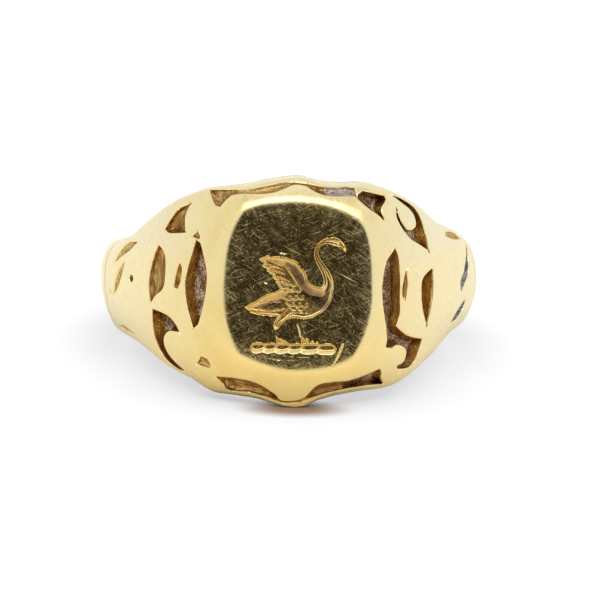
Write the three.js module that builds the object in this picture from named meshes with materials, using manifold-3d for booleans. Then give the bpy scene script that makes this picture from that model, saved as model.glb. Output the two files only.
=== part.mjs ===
// A signet ring: an oblong engraved table on a scalloped block, pierced shoulders laid over a plain liner,
// and a half-round shank closing the hoop behind.
//
// Frame, in millimetres: the finger hole runs along Z with its centre at the origin, the signet table
// faces -Y, and X runs across the two shoulders. "angle" is measured round the hoop from the middle of
// the table, positive towards +X. Outlines on the curved face are drawn on the unrolled band as
// [across, up], where across is the distance round the hoop at UNROLL_RADIUS.
import * as THREE from "three";
import { ParametricGeometry } from "three/addons/geometries/ParametricGeometry.js";
import { mergeVertices } from "three/addons/utils/BufferGeometryUtils.js";
import Module from "manifold-3d";

// Driving dimensions
const FINGER_RADIUS = 8.75;
const TABLE_REACH = 11.25; // from the finger hole's axis to the flat table
const SHANK_REACH = 10.35; // from the axis to the outside of the plain shank
const SHOULDER_RISE = 1.62; // how far the shoulders stand above the shank where they meet the table
const CREST_ANGLE = 20; // where the shoulders meet the table
const CREST_HOLD = 0.75; // within this share of the crest angle the rise stays the same
const SHOULDER_FALL = 20; // degrees over which the rise falls to a third
const RIM_RADIUS = 9.5; // outside radius of the thin edge of the hoop
const SKIN = 0.7; // thickness of the pierced outer skin
const LINER_RIM_RADIUS = 9.15; // outside radius of the liner at the edge of the hoop
const INNER_EASE = 0.2; // the finger edge is eased by this much
const GAP = 0.03; // solder gap between pieces that meet edge to edge
const BED = 0.08; // thickness of the solder bed between the liner and the skin laid over it
const UPPER_ROUND = 2.4; // exponent of the domed section above the middle line
const LOWER_ROUND = 1.9; // and below it, round the front
const UPPER_BACK_ROUND = 2.0; // the same two exponents round the back
const LOWER_BACK_ROUND = 1.6;
const ROUND_BLEND = [60, 85]; // degrees over which the front exponents become those of the back
const TABLE_HALF_ANGLE = 60; // the plane of the table can only cut the hoop within this angle
const FRONT_HALF_ANGLE = 78; // the shoulders end here
const SEAM_THICKNESS = 0.14; // solder between a shoulder and the shank
const UNROLL_RADIUS = 10.5;
const EDGE_CLEAR = 8; // a height that is past both edges of the hoop
const INTAGLIO_DEPTH = 0.18;
const WREATH_WAIST = 0.72; // height of the wreath between two lobes, as a share of its full height
const CUTTER_CLEARANCE = 1.2; // cutters reach this many times further out than the table

// Fineness of the faceted surfaces
const SECTION_STEPS = 16;
const FRONT_STEPS = 40;
const SHANK_STEPS = 34;
const CUTTER_STEP = 0.8;
const CUTTER_LAYERS = 3;
const WREATH_LOBE_STEPS = 4;
const WELD_DISTANCE = 1e-5;
const FINEST_DETAIL = 0.004;

const GOLD = { color: 0xd9b15c, roughness: 0.24, metalness: 1 };
const DULL_GOLD = { color: 0x8f7248, roughness: 0.62, metalness: 1 };
const SOLDER = { color: 0x9a9690, roughness: 0.45, metalness: 1 };

// Edges of the hoop, as [angle, distance from the middle line]. They swell from the shank to the head,
// where each edge is scalloped into two shallow arcs that meet in a point.
const UPPER_EDGE = [
  [-180, 1.85], [-120, 1.88], [-90, 1.85], [-78, 1.95], [-68, 2.25], [-60, 2.75], [-53, 3.45], [-47, 4.05],
  [-41, 4.58], [-36, 4.9], [-30, 5.24], [-24, 5.4], [-17, 5.58], [-11, 5.82], [-5, 5.98], [0, 6.06],
  [4, 5.93], [8, 5.78], [14, 5.72], [21, 5.74], [26, 5.56], [31, 5.28], [36, 4.95], [41, 4.57], [45, 4.18],
  [51, 3.62], [57, 3.32], [64, 3.05], [70, 2.78], [78, 2.5], [90, 2.25], [120, 2.05], [180, 1.85],
];
const LOWER_EDGE = [
  [-180, 1.85], [-120, 2.25], [-90, 2.7], [-78, 2.95], [-68, 3.15], [-60, 3.4], [-55, 3.68], [-51, 3.98],
  [-44, 4.5], [-38, 4.86], [-34, 5.1], [-30, 5.45], [-26, 5.7], [-20, 5.78], [-12, 5.94], [-8, 6.12],
  [-3, 6.34], [0, 6.38], [3, 6.3], [7, 6.0], [12, 5.75], [16, 5.62], [22, 5.47], [29, 5.36], [34, 5.2],
  [40, 4.76], [46, 4.18], [51, 3.74], [56, 3.2], [61, 2.76], [68, 2.5], [78, 2.35], [90, 2.25],
  [120, 2.05], [180, 1.85],
];

// Outline of the signet block, from its upper left corner clockwise
const BLOCK = [
  [-4.05, 4.42], [-3.6, 4.96], [-2.98, 5.06], [-1.6, 5.14], [-0.9, 5.36], [-0.3, 5.62], [0.3, 5.56],
  [0.6, 5.38], [1.1, 5.14], [1.7, 5.04], [2.86, 5.06], [3.5, 4.45], [4.4, 3.72], [4.66, 2.3], [4.28, 1.02],
  [4.16, 0.06], [4.28, -0.92], [4.5, -1.75], [4.72, -2.6], [4.62, -4.2], [3.55, -4.6], [2.7, -4.82],
  [1.78, -4.9], [1.1, -5.1], [0.4, -5.86], [-0.7, -5.98], [-1.06, -5.66], [-1.56, -5.3], [-2.05, -5.04],
  [-2.72, -4.86], [-4.1, -4.72], [-4.72, -3.75], [-5.2, -2.2], [-4.9, -1.43], [-4.66, -0.52], [-4.56, 0.39],
  [-4.6, 0.98], [-4.84, 1.86], [-5.14, 2.6],
];

// Lower border of the upper edge strip and upper border of the lower one, from left to right
const UPPER_STRIP = [
  [-5.05, 5.18], [-3.6, 5.2], [-2.6, 5.28], [-1.6, 5.5], [-0.9, 5.68], [-0.3, 5.7], [0.4, 5.64], [1.1, 5.5],
  [1.9, 5.46], [2.5, 5.52], [3.2, 5.4],
];
const LOWER_STRIP = [
  [-3.95, -5.36], [-3.3, -5.5], [-2.5, -5.52], [-1.6, -5.74], [-1.0, -5.96], [-0.6, -6.08], [0.3, -6.0],
  [0.9, -5.76], [1.6, -5.5], [2.4, -5.32], [3.2, -5.2], [4.0, -5.12], [4.9, -5.1],
];

// The skin is cut away between the block and the two strips
const GUTTERS = [
  [[-3.4, 4], [2.95, 4], [2.95, EDGE_CLEAR], [-3.4, EDGE_CLEAR]],
  [[-3.4, -EDGE_CLEAR], [3.55, -EDGE_CLEAR], [3.55, -4], [-3.4, -4]],
];

// Openings sawn through the skin. Each is a closed outline that starts at a sharp tip.
const OPENINGS = {
  left: [
    // long leaf beside the block
    [[-5.3, 2.52], [-4.5, 1.9], [-4.3, 0.4], [-4.6, -1.4], [-5.4, -2.2], [-5.75, -1.04], [-5.9, 0.1],
      [-5.75, 0.95], [-5.5, 1.8]],
    // corner nick above it
    [[-5.56, 2.7], [-5.26, 2.95], [-5.0, 2.56]],
    // narrow slit
    [[-6.33, 1.17], [-6.17, 1.0], [-6.2, 0.4], [-6.42, -0.14], [-6.62, -0.04], [-6.55, 0.56]],
    // outer leaf
    [[-7.97, 2.1], [-7.57, 1.77], [-7.37, 1.3], [-7.36, 0.4], [-7.52, -0.2], [-8.1, -0.62], [-8.46, -1.0],
      [-8.58, -0.1], [-8.5, 0.74], [-8.3, 1.45]],
    // fin at the upper edge
    [[-6.1, 4.36], [-6.26, 3.9], [-6.24, 3.45], [-6.08, 2.88], [-7.2, 2.8], [-7.62, 2.95], [-7.3, 3.5],
      [-6.85, 4.05]],
    // hooked scroll at the lower edge
    [[-8.38, -1.38], [-7.75, -1.5], [-7.1, -1.7], [-6.65, -2.08], [-6.42, -2.46], [-7.1, -2.46], [-7.5, -2.66],
      [-7.72, -3.05], [-7.66, -3.55], [-7.3, -4.05], [-6.62, -4.62], [-7.3, -4.45], [-7.95, -3.95],
      [-8.35, -3.1], [-8.45, -2.2]],
    // small pit by the block's lower corner
    [[-5.04, -3.72], [-4.5, -3.9], [-4.6, -4.3], [-5.36, -4.12]],
    // two slashes near the shank
    [[-10.1, 2.1], [-10.7, 1.7], [-11.5, 1.35], [-12.6, 0.85], [-11.9, 1.6], [-11.0, 2.05]],
    [[-11.1, 1.0], [-11.4, 0.3], [-11.9, -0.4], [-12.7, -0.95], [-12.2, 0.0], [-11.7, 0.6]],
    // round dot
    [[-10.5, 0.15], [-10.4, 0.31], [-10.22, 0.31], [-10.12, 0.15], [-10.22, -0.01], [-10.4, -0.01]],
  ],
  right: [
    [[5.0, 2.3], [5.22, 1.74], [5.32, 0.69], [5.34, -0.44], [5.4, -1.2], [5.2, -1.9], [5.75, -2.26],
      [6.4, -2.53], [7.42, -2.7], [7.33, -3.12], [7.26, -3.66], [7.03, -4.05], [6.6, -4.25], [5.9, -4.25],
      [5.8, -4.1], [6.18, -3.95], [6.3, -3.6], [6.2, -3.2], [5.83, -2.98], [5.44, -2.9], [5.1, -3.05],
      [4.6, -2.9], [4.4, -1.8], [4.0, 0.06], [4.2, 1.2]],
    [[5.76, 1.12], [5.88, 0.37], [5.78, -0.52], [5.56, -0.38], [5.52, 0.23]],
    [[7.86, 1.12], [7.93, 0.14], [7.82, -0.92], [7.6, -1.88], [7.17, -1.05], [6.98, -0.13], [7.1, 0.62]],
    // hooked scroll at the upper edge
    [[5.41, 5.05], [6.2, 4.8], [6.95, 4.36], [7.25, 3.8], [7.41, 2.93], [7.55, 2.12], [6.8, 2.48], [6.26, 2.72],
      [5.87, 3.05], [5.5, 3.5], [5.3, 3.95], [5.36, 4.25], [5.56, 3.72], [5.85, 3.32], [6.1, 3.2], [6.47, 3.25],
      [6.75, 3.5], [6.72, 3.98], [6.45, 4.35], [6.0, 4.65]],
    // small oblong
    [[9.8, 2.98], [10.5, 2.96], [11.3, 2.78], [11.7, 2.55], [10.65, 2.57], [9.7, 2.8]],
    [[13.3, 2.5], [12.5, 2.0], [11.9, 1.3], [11.5, 0.75], [11.0, 0.25], [11.2, -0.42], [11.75, 0.15],
      [12.4, 0.66], [12.6, 1.4], [12.95, 2.0]],
    [[12.1, -0.75], [11.5, -1.0], [10.9, -1.4], [10.35, -2.0], [11.3, -1.75], [12.0, -1.2]],
  ],
  // corner quarter between the block, the upper strip and the right shoulder
  corner: [
    [[3.05, 5.1], [3.4, 5.3], [4.72, 5.02], [4.7, 4.8], [4.26, 4.35], [4.4, 3.8], [4.1, 3.86], [3.0, 4.9]],
    [[-5.1, 5.16], [-4.0, 5.2], [-3.3, 5.24], [-3.3, 4.9], [-3.9, 4.3], [-4.4, 4.4]],
    [[4.5, -4.2], [4.72, -4.36], [4.86, -4.75], [5.2, -5.06], [4.0, -5.12], [3.3, -5.2], [3.3, -4.5]],
    [[-4.25, -4.78], [-3.4, -4.78], [-3.4, -5.55], [-3.84, -5.42], [-3.92, -5.12]],
  ],
};

// The bird and its wreath, cut into the table as [x, z]
const BIRD = [
  [2.4, 2.12], [2.3, 2.55], [2.1, 2.72], [1.71, 2.82], [1.3, 2.74], [0.98, 2.42], [0.86, 1.85], [1.12, 1.27],
  [1.4, 0.82], [1.42, 0.31], [0.91, 0.31], [0.49, 0.53], [0.28, 0.95], [-0.04, 1.43], [-0.47, 1.69],
  [-1.05, 1.75], [-1.74, 1.8], [-2.08, 1.64], [-1.9, 1.27], [-1.58, 1.0], [-1.37, 0.74], [-1.16, 0.47],
  [-0.95, 0.0], [-1.45, -0.16], [-2.01, -0.43], [-2.8, -0.91], [-2.27, -1.28], [-1.64, -1.33], [-1.0, -1.33],
  [-1.26, -1.76], [-1.1, -2.08], [-0.73, -1.7], [-0.31, -1.42], [0.38, -1.47], [0.91, -1.33], [1.39, -1.01],
  [1.71, -0.59], [1.84, 0.1], [1.85, 0.53], [1.66, 0.95], [1.29, 1.43], [1.04, 1.91], [1.04, 2.22],
  [1.24, 2.54], [1.7, 2.66], [2.1, 2.5],
];
const WREATH = { left: -2.64, right: 2.11, middle: -3.06, halfHeight: 0.27, lobes: 6 };

const wasm = await Module();
wasm.setup();

const radians = THREE.MathUtils.degToRad;

// A smooth curve through [angle, value] pairs, read by angle
function throughPoints(pairs) {
  const slope = pairs.map((pair, i) => {
    const before = pairs[Math.max(i - 1, 0)];
    const after = pairs[Math.min(i + 1, pairs.length - 1)];
    return (after[1] - before[1]) / (after[0] - before[0]);
  });
  return (angle) => {
    const last = pairs.length - 2;
    const i = Math.min(Math.max(pairs.findIndex((pair) => pair[0] > angle) - 1, 0), last);
    const k = angle >= pairs[last + 1][0] ? last : i;
    const width = pairs[k + 1][0] - pairs[k][0];
    const u = (angle - pairs[k][0]) / width;
    const h1 = (1 + 2 * u) * (1 - u) ** 2;
    const h2 = u * (1 - u) ** 2 * width;
    const h3 = u * u * (3 - 2 * u);
    const h4 = u * u * (u - 1) * width;
    return h1 * pairs[k][1] + h2 * slope[k] + h3 * pairs[k + 1][1] + h4 * slope[k + 1];
  };
}

const upperEdge = throughPoints(UPPER_EDGE);
const lowerEdge = throughPoints(LOWER_EDGE);

const wrap = (angle) => (angle > 180 ? angle - 360 : angle);

// "side" runs from -1 at the lower edge of the hoop to 1 at the upper edge
const height = (angle, side) => (side > 0 ? side * upperEdge(wrap(angle)) : side * lowerEdge(wrap(angle)));

function outside(angle, side) {
  const turn = Math.abs(wrap(angle));
  const beyondCrest = Math.max(turn, CREST_ANGLE * CREST_HOLD) - CREST_ANGLE;
  const rise = SHOULDER_RISE * Math.exp(-beyondCrest / SHOULDER_FALL);
  const ends = side > 0 ? [UPPER_ROUND, UPPER_BACK_ROUND] : [LOWER_ROUND, LOWER_BACK_ROUND];
  const blendAngle = THREE.MathUtils.clamp(turn, ...ROUND_BLEND);
  const round = THREE.MathUtils.mapLinear(blendAngle, ...ROUND_BLEND, ...ends);
  const dome = (1 - Math.abs(side) ** round) ** (1 / round);
  const domed = RIM_RADIUS + (SHANK_REACH + rise - RIM_RADIUS) * dome;
  return turn < TABLE_HALF_ANGLE ? Math.min(domed, TABLE_REACH / Math.cos(radians(turn))) : domed;
}

const underSkin = (angle, side) => Math.max(outside(angle, side) - SKIN, LINER_RIM_RADIUS);

function fingerSide(angle, side) {
  const reach = height(angle, Math.sign(side) || 1);
  const fromEdge = Math.abs(reach) - Math.abs(height(angle, side));
  return FINGER_RADIUS + INNER_EASE * Math.max(0, 1 - fromEdge / INNER_EASE);
}

function onHoop(angle, radius, up, target) {
  return target.set(radius * Math.sin(radians(angle)), -radius * Math.cos(radians(angle)), up);
}

// A closed length of hoop between two angles, bounded by an inner and an outer surface
function hoop(from, to, steps, inner, outer) {
  const around = 2 * (SECTION_STEPS + 1);
  const section = new THREE.Vector3();
  const point = (u, v, target) => {
    const row = Math.round(u * (steps + 2)) - 1;
    const angle = from + ((to - from) * Math.min(Math.max(row, 0), steps)) / steps;
    const stop = Math.round(v * around) % around;
    const onOuter = stop <= SECTION_STEPS;
    const step = onOuter ? stop : around - 1 - stop;
    const side = Math.sin((Math.PI / 2) * ((2 * step) / SECTION_STEPS - 1));
    const capped = row < 0 || row > steps;
    const usedSide = capped ? 0 : side;
    const radius = capped
      ? (inner(angle, 0) + outer(angle, 0)) / 2
      : (onOuter ? outer : inner)(angle, side);
    onHoop(angle, radius, height(angle, usedSide), section);
    target.copy(section);
  };
  return new ParametricGeometry(point, steps + 2, around);
}

function toSolid(geometry) {
  const bare = new THREE.BufferGeometry();
  bare.setAttribute("position", geometry.getAttribute("position").clone());
  if (geometry.index) {
    bare.setIndex(geometry.index.clone());
  }
  const merged = mergeVertices(bare, WELD_DISTANCE);
  const corners = merged.index.array;
  const kept = [];
  for (let i = 0; i < corners.length; i += 3) {
    const [a, b, c] = [corners[i], corners[i + 1], corners[i + 2]];
    if (a !== b && b !== c && c !== a) {
      kept.push([a, b, c]);
    }
  }
  const build = (triangles) =>
    new wasm.Manifold(
      new wasm.Mesh({
        numProp: 3,
        vertProperties: new Float32Array(merged.getAttribute("position").array),
        triVerts: new Uint32Array(triangles.flat()),
      }),
    );
  const solid = build(kept);
  return solid.volume() > 0 ? solid : build(kept.map(([a, b, c]) => [b, a, c]));
}

function toGeometry(solid) {
  const mesh = solid.simplify(FINEST_DETAIL).getMesh();
  const geometry = new THREE.BufferGeometry();
  geometry.setAttribute("position", new THREE.BufferAttribute(new Float32Array(mesh.vertProperties), 3));
  geometry.setIndex(new THREE.BufferAttribute(new Uint32Array(mesh.triVerts), 1));
  geometry.computeVertexNormals();
  return geometry;
}

// Long straight sides are divided so that they bend round the hoop
function divided(outline) {
  return outline.flatMap(([across, up], i) => {
    const [nextAcross, nextUp] = outline[(i + 1) % outline.length];
    const pieces = Math.max(1, Math.ceil(Math.abs(nextAcross - across) / CUTTER_STEP));
    return Array.from({ length: pieces }, (_, k) => [
      across + ((nextAcross - across) * k) / pieces,
      up + ((nextUp - up) * k) / pieces,
    ]);
  });
}

function grown(outline, margin) {
  const points = outline.map(([across, up]) => new THREE.Vector2(across, up));
  const clockwise = THREE.ShapeUtils.isClockWise(points) ? 1 : -1;
  return points.map((point, i) => {
    const before = points[(i + points.length - 1) % points.length];
    const after = points[(i + 1) % points.length];
    const along = after.clone().sub(before).normalize();
    return [point.x - clockwise * along.y * margin, point.y + clockwise * along.x * margin];
  });
}

// A cutter that stands on an outline of the unrolled band and runs out along the radius
function radialPrism(outline) {
  const from = LINER_RIM_RADIUS - SKIN;
  const to = TABLE_REACH * CUTTER_CLEARANCE;
  const shape = new THREE.Shape(divided(outline).map(([across, up]) => new THREE.Vector2(across, up)));
  const prism = new THREE.ExtrudeGeometry(shape, {
    depth: to - from,
    steps: CUTTER_LAYERS,
    bevelEnabled: false,
  });
  const position = prism.getAttribute("position");
  const corner = new THREE.Vector3();
  for (let i = 0; i < position.count; i += 1) {
    corner.fromBufferAttribute(position, i);
    const angle = THREE.MathUtils.radToDeg(corner.x / UNROLL_RADIUS);
    onHoop(angle, from + corner.z, corner.y, corner);
    position.setXYZ(i, corner.x, corner.y, corner.z);
  }
  return toSolid(prism);
}

// A shallow cutter that stands on an outline of the table as [x, z]
function tablePrism(outline, depth) {
  const shape = new THREE.Shape(outline.map(([x, z]) => new THREE.Vector2(x, z)));
  const prism = new THREE.ExtrudeGeometry(shape, { depth: 2 * depth, bevelEnabled: false });
  prism.rotateX(Math.PI / 2);
  prism.translate(0, depth - TABLE_REACH, 0);
  return toSolid(prism);
}

function wreathOutline() {
  const { left, right, middle, halfHeight, lobes } = WREATH;
  const steps = lobes * WREATH_LOBE_STEPS;
  const edge = (sign) =>
    Array.from({ length: steps + 1 }, (_, i) => {
      const bulge = Math.abs(Math.sin((Math.PI * lobes * i) / steps));
      const swell = WREATH_WAIST + (1 - WREATH_WAIST) * bulge;
      return [left + ((right - left) * i) / steps, middle + sign * halfHeight * swell];
    });
  return [...edge(1), ...edge(-1).reverse()];
}

function mesh(name, geometry, look) {
  const made = new THREE.Mesh(geometry, new THREE.MeshStandardMaterial(look));
  made.name = name;
  return made;
}

// A strip reaches from its border out past the edge of the hoop
function zone(border, past) {
  const start = border[0];
  const end = border[border.length - 1];
  return [...border, [end[0], past], [start[0], past]];
}

const upperZone = zone(UPPER_STRIP, EDGE_CLEAR);
const lowerZone = zone(LOWER_STRIP, -EDGE_CLEAR);

const aboveBed = (angle, side) => underSkin(angle, side) + BED;
const skin = toSolid(hoop(-FRONT_HALF_ANGLE, FRONT_HALF_ANGLE, FRONT_STEPS, aboveBed, outside));
const blockCutter = radialPrism(BLOCK);
const corners = OPENINGS.corner.map((outline) => radialPrism(outline));

// What is left of a solid after its cuts, without the crumbs that the saw frees. Where the cuts part it
// into a left and a right piece, "sign" says which one is kept.
function without(solid, cutters, sign = 0) {
  const cut = cutters.reduce((left, cutter) => left.subtract(cutter), solid);
  const pieces = cut.decompose().filter((piece) => {
    const { min, max } = piece.boundingBox();
    return sign * (min[0] + max[0]) >= 0;
  });
  return pieces.sort((a, b) => b.volume() - a.volume())[0];
}

function signetHead() {
  const block = skin.intersect(blockCutter);
  return without(block, [tablePrism(BIRD, INTAGLIO_DEPTH), tablePrism(wreathOutline(), INTAGLIO_DEPTH)]);
}

function edgeStrip(border) {
  return without(skin.intersect(radialPrism(border)), [radialPrism(grown(BLOCK, GAP)), ...corners]);
}

function shoulder(side) {
  const neighbours = [grown(BLOCK, GAP), grown(upperZone, GAP), grown(lowerZone, GAP), ...GUTTERS];
  const cutters = [...neighbours, ...OPENINGS[side]].map((outline) => radialPrism(outline));
  return without(skin, [...cutters, ...corners], side === "left" ? -1 : 1);
}

function seam(sign) {
  const start = FRONT_HALF_ANGLE + THREE.MathUtils.radToDeg(GAP / SHANK_REACH);
  const end = start + THREE.MathUtils.radToDeg(SEAM_THICKNESS / SHANK_REACH);
  const [from, to] = sign > 0 ? [start, end] : [-end, -start];
  return toSolid(hoop(from, to, 1, fingerSide, outside));
}

const shankStart = FRONT_HALF_ANGLE + THREE.MathUtils.radToDeg((2 * GAP + SEAM_THICKNESS) / SHANK_REACH);

const liner = toSolid(hoop(-FRONT_HALF_ANGLE, FRONT_HALF_ANGLE, FRONT_STEPS, fingerSide, underSkin));
const shank = toSolid(hoop(shankStart, 360 - shankStart, SHANK_STEPS, fingerSide, outside));

const group = new THREE.Group();
group.add(mesh("liner", toGeometry(liner), DULL_GOLD));
group.add(mesh("signet_head", toGeometry(signetHead()), GOLD));
group.add(mesh("left_shoulder", toGeometry(shoulder("left")), GOLD));
group.add(mesh("right_shoulder", toGeometry(shoulder("right")), GOLD));
group.add(mesh("upper_edge_strip", toGeometry(edgeStrip(upperZone)), GOLD));
group.add(mesh("lower_edge_strip", toGeometry(edgeStrip(lowerZone)), GOLD));
group.add(mesh("shank", toGeometry(shank), GOLD));
group.add(mesh("solder_seam_left", toGeometry(seam(-1)), SOLDER));
group.add(mesh("solder_seam_right", toGeometry(seam(1)), SOLDER));

export default group;
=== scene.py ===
# %% [markdown]
# # A gold signet ring
# The ring lies on its side with the engraved head towards the camera. It is built as a goldsmith builds
# it: a plain liner round the finger, a pierced skin laid over it, a solid block with a flat engraved table,
# and a half-round shank behind. This script dresses the imported model: every solid is replaced by a finer
# mesh of the same shape and size, with worn gold, sawn walls and a grainy recess floor.
#
# The work starts from the frame: the reach of the table and of the shank, and the ring's lowest point, come
# from the imported solids. Lengths below are in millimetres and are turned into metres when a mesh is made.

# %% The frame and the tools
import math

import bpy
import numpy as np
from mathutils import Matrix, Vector
from mathutils.geometry import delaunay_2d_cdt


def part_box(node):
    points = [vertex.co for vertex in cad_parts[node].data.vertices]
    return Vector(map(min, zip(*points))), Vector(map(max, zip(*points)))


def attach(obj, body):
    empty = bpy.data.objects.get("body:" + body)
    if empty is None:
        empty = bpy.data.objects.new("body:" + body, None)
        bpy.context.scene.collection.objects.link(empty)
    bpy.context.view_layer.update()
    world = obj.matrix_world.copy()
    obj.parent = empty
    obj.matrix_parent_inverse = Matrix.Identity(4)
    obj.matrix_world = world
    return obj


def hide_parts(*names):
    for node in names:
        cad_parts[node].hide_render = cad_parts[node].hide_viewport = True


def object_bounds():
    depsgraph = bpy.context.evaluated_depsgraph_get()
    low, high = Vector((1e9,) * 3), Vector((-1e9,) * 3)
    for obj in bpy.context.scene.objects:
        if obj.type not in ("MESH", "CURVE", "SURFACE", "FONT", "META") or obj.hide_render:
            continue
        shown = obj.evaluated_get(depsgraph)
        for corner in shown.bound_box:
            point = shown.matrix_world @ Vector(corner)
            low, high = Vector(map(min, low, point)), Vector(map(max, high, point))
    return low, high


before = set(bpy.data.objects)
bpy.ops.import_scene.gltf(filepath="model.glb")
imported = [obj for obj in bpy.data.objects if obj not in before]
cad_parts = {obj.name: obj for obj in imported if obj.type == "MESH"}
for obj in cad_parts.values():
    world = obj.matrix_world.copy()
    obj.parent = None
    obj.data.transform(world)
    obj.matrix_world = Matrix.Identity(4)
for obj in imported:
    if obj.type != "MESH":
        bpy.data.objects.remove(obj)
cad_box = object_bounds()
MM = 0.001

table_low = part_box("signet_head")[0]
TABLE_REACH = -table_low.y / MM
SHANK_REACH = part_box("shank")[1].y / MM
print("table reach", round(TABLE_REACH, 2), "shank reach", round(SHANK_REACH, 2))

# %% [markdown]
# ## The shape of the hoop
# Every surface of a ring is easiest to think of on the unrolled band: how far round the hoop, how far up,
# and how far out. One function gives the outside radius at any place. It is a domed section that swells
# from the shank to the shoulders, cut off by the flat table in front. Sculpting would reach the same form,
# but a formula keeps both faces of the skin, the liner and the shank in step with each other.

# %% Sizes of the section
FINGER_RADIUS = 8.75
SHOULDER_RISE = 1.62
CREST_ANGLE = 20
SHOULDER_FALL = 20
RIM_RADIUS = 9.5
SKIN = 0.7
LINER_RIM_RADIUS = 9.15
INNER_EASE = 0.2
UPPER_ROUNDS = (2.4, 2.0)
LOWER_ROUNDS = (1.9, 1.6)
ROUND_BLEND = (60, 85)
FRONT_HALF_ANGLE = 78
SEAM_THICKNESS = 0.14
UNROLL_RADIUS = 10.5
BED = 0.012

UPPER_EDGE = [
    (-180, 1.85), (-120, 1.88), (-90, 1.85), (-78, 1.95), (-68, 2.25), (-60, 2.75), (-53, 3.45),
    (-47, 4.05), (-41, 4.58), (-36, 4.9), (-30, 5.24), (-24, 5.4), (-17, 5.58), (-11, 5.82), (-5, 5.98),
    (0, 6.06), (4, 5.93), (8, 5.78), (14, 5.72), (21, 5.74), (26, 5.56), (31, 5.28), (36, 4.95),
    (41, 4.57), (45, 4.18), (51, 3.62), (57, 3.32), (64, 3.05), (70, 2.78), (78, 2.5), (90, 2.25),
    (120, 2.05), (180, 1.85),
]
LOWER_EDGE = [
    (-180, 1.85), (-120, 2.25), (-90, 2.7), (-78, 2.95), (-68, 3.15), (-60, 3.4), (-55, 3.68),
    (-51, 3.98), (-44, 4.5), (-38, 4.86), (-34, 5.1), (-30, 5.45), (-26, 5.7), (-20, 5.78), (-12, 5.94),
    (-8, 6.12), (-3, 6.34), (0, 6.38), (3, 6.3), (7, 6.0), (12, 5.75), (16, 5.62), (22, 5.47),
    (29, 5.36), (34, 5.2), (40, 4.76), (46, 4.18), (51, 3.74), (56, 3.2), (61, 2.76), (68, 2.5),
    (78, 2.35), (90, 2.25), (120, 2.05), (180, 1.85),
]


def through_points(pairs):
    """A smooth curve through (angle, value) pairs, read by angle."""
    at = np.array([p[0] for p in pairs], float)
    value = np.array([p[1] for p in pairs], float)
    slope = np.gradient(value, at, edge_order=1)
    slope[1:-1] = (value[2:] - value[:-2]) / (at[2:] - at[:-2])

    def read(angle):
        k = np.clip(np.searchsorted(at, angle, side="right") - 1, 0, len(at) - 2)
        width = at[k + 1] - at[k]
        u = (angle - at[k]) / width
        h1 = (1 + 2 * u) * (1 - u) ** 2
        h2 = u * (1 - u) ** 2 * width
        h3 = u * u * (3 - 2 * u)
        h4 = u * u * (u - 1) * width
        return h1 * value[k] + h2 * slope[k] + h3 * value[k + 1] + h4 * slope[k + 1]

    return read


upper_edge = through_points(UPPER_EDGE)
lower_edge = through_points(LOWER_EDGE)


def wrap(angle):
    return np.where(angle > 180, angle - 360, angle)


def height_of(angle, side):
    """Height at a place on the section: side is -1 at the lower edge and 1 at the upper edge."""
    turn = wrap(angle)
    return np.where(side > 0, side * upper_edge(turn), side * lower_edge(turn))


def side_of(angle, up):
    turn = wrap(angle)
    return np.clip(np.where(up > 0, up / upper_edge(turn), up / lower_edge(turn)), -1, 1)


def smooth_min(a, b, reach):
    h = np.clip(0.5 + 0.5 * (b - a) / reach, 0, 1)
    return b + (a - b) * h - reach * h * (1 - h)


# %% [markdown]
# ## The flat table
# The table is dead flat where the seal is cut, and years of wear have rolled its border over into the
# flanks. A bevel would give one hard angle all round. Here the drop is worked out from the distance
# to the table's outline instead, so the border rolls softly and follows the cushion shape.

# %% Table outline and its rolled border
TABLE_OUTLINE = [
    (-3.4, 4.4), (-1.7, 4.76), (0, 4.86), (1.6, 4.66), (2.75, 4.24), (3.66, 3.62), (4.1, 2.6), (4.26, 0.1),
    (4.54, -2.3), (4.5, -3.24), (3.5, -3.92), (1.9, -4.3), (0.2, -4.52), (-0.8, -4.46), (-2.05, -4.12),
    (-3.4, -3.56), (-4.36, -2.86), (-4.54, -1.8), (-4.38, 0), (-4.24, 2.4), (-4.02, 3.8),
]
FLANK_SLOPE = 0.72
ROLL_START = -0.5
ROLL_END = 0.42
FAR_DROP = 0.8
FAR_SLOPES = ((4.0, 5.6), (0.72, 0.12))
MERGE = 0.22


def smooth_loop(outline, per_side=8):
    """A closed Catmull-Rom curve through the outline's points."""
    p = np.array(outline, float)
    before, after, later = np.roll(p, 1, 0), np.roll(p, -1, 0), np.roll(p, -2, 0)
    u = np.arange(per_side)[:, None, None] / per_side
    curve = 0.5 * (
        2 * p + (after - before) * u + (2 * before - 5 * p + 4 * after - later) * u ** 2
        + (3 * p - before - 3 * after + later) * u ** 3
    )
    return curve.transpose(1, 0, 2).reshape(-1, 2)


def inside_loop(points, loop):
    """Which points lie inside a closed outline."""
    a, b = loop, np.roll(loop, -1, 0)
    found = np.zeros(len(points), bool)
    for (ax, ay), (bx, by) in zip(a, b):
        crosses = (points[:, 1] < ay) != (points[:, 1] < by)
        if ay != by:
            edge = ax + (points[:, 1] - ay) * (bx - ax) / (by - ay)
            found ^= crosses & (points[:, 0] < edge)
    return found


def distance_to(points, starts, ends):
    """Distance from each point to the nearest of many straight edges."""
    best = np.full(len(points), 1e9)
    along = ends - starts
    length2 = np.maximum((along ** 2).sum(1), 1e-12)
    for first in range(0, len(points), 4000):
        block = points[first:first + 4000]
        rel = block[:, None, :] - starts[None]
        t = np.clip((rel * along[None]).sum(2) / length2, 0, 1)
        gap = rel - t[..., None] * along[None]
        best[first:first + 4000] = np.sqrt((gap ** 2).sum(2).min(1))
    return best


table_loop = smooth_loop(TABLE_OUTLINE)


def beyond_table(points):
    """Distance outside the table's outline; it is negative on the table."""
    d = distance_to(points, table_loop, np.roll(table_loop, -1, 0))
    return np.where(inside_loop(points, table_loop), -d, d)


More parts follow.
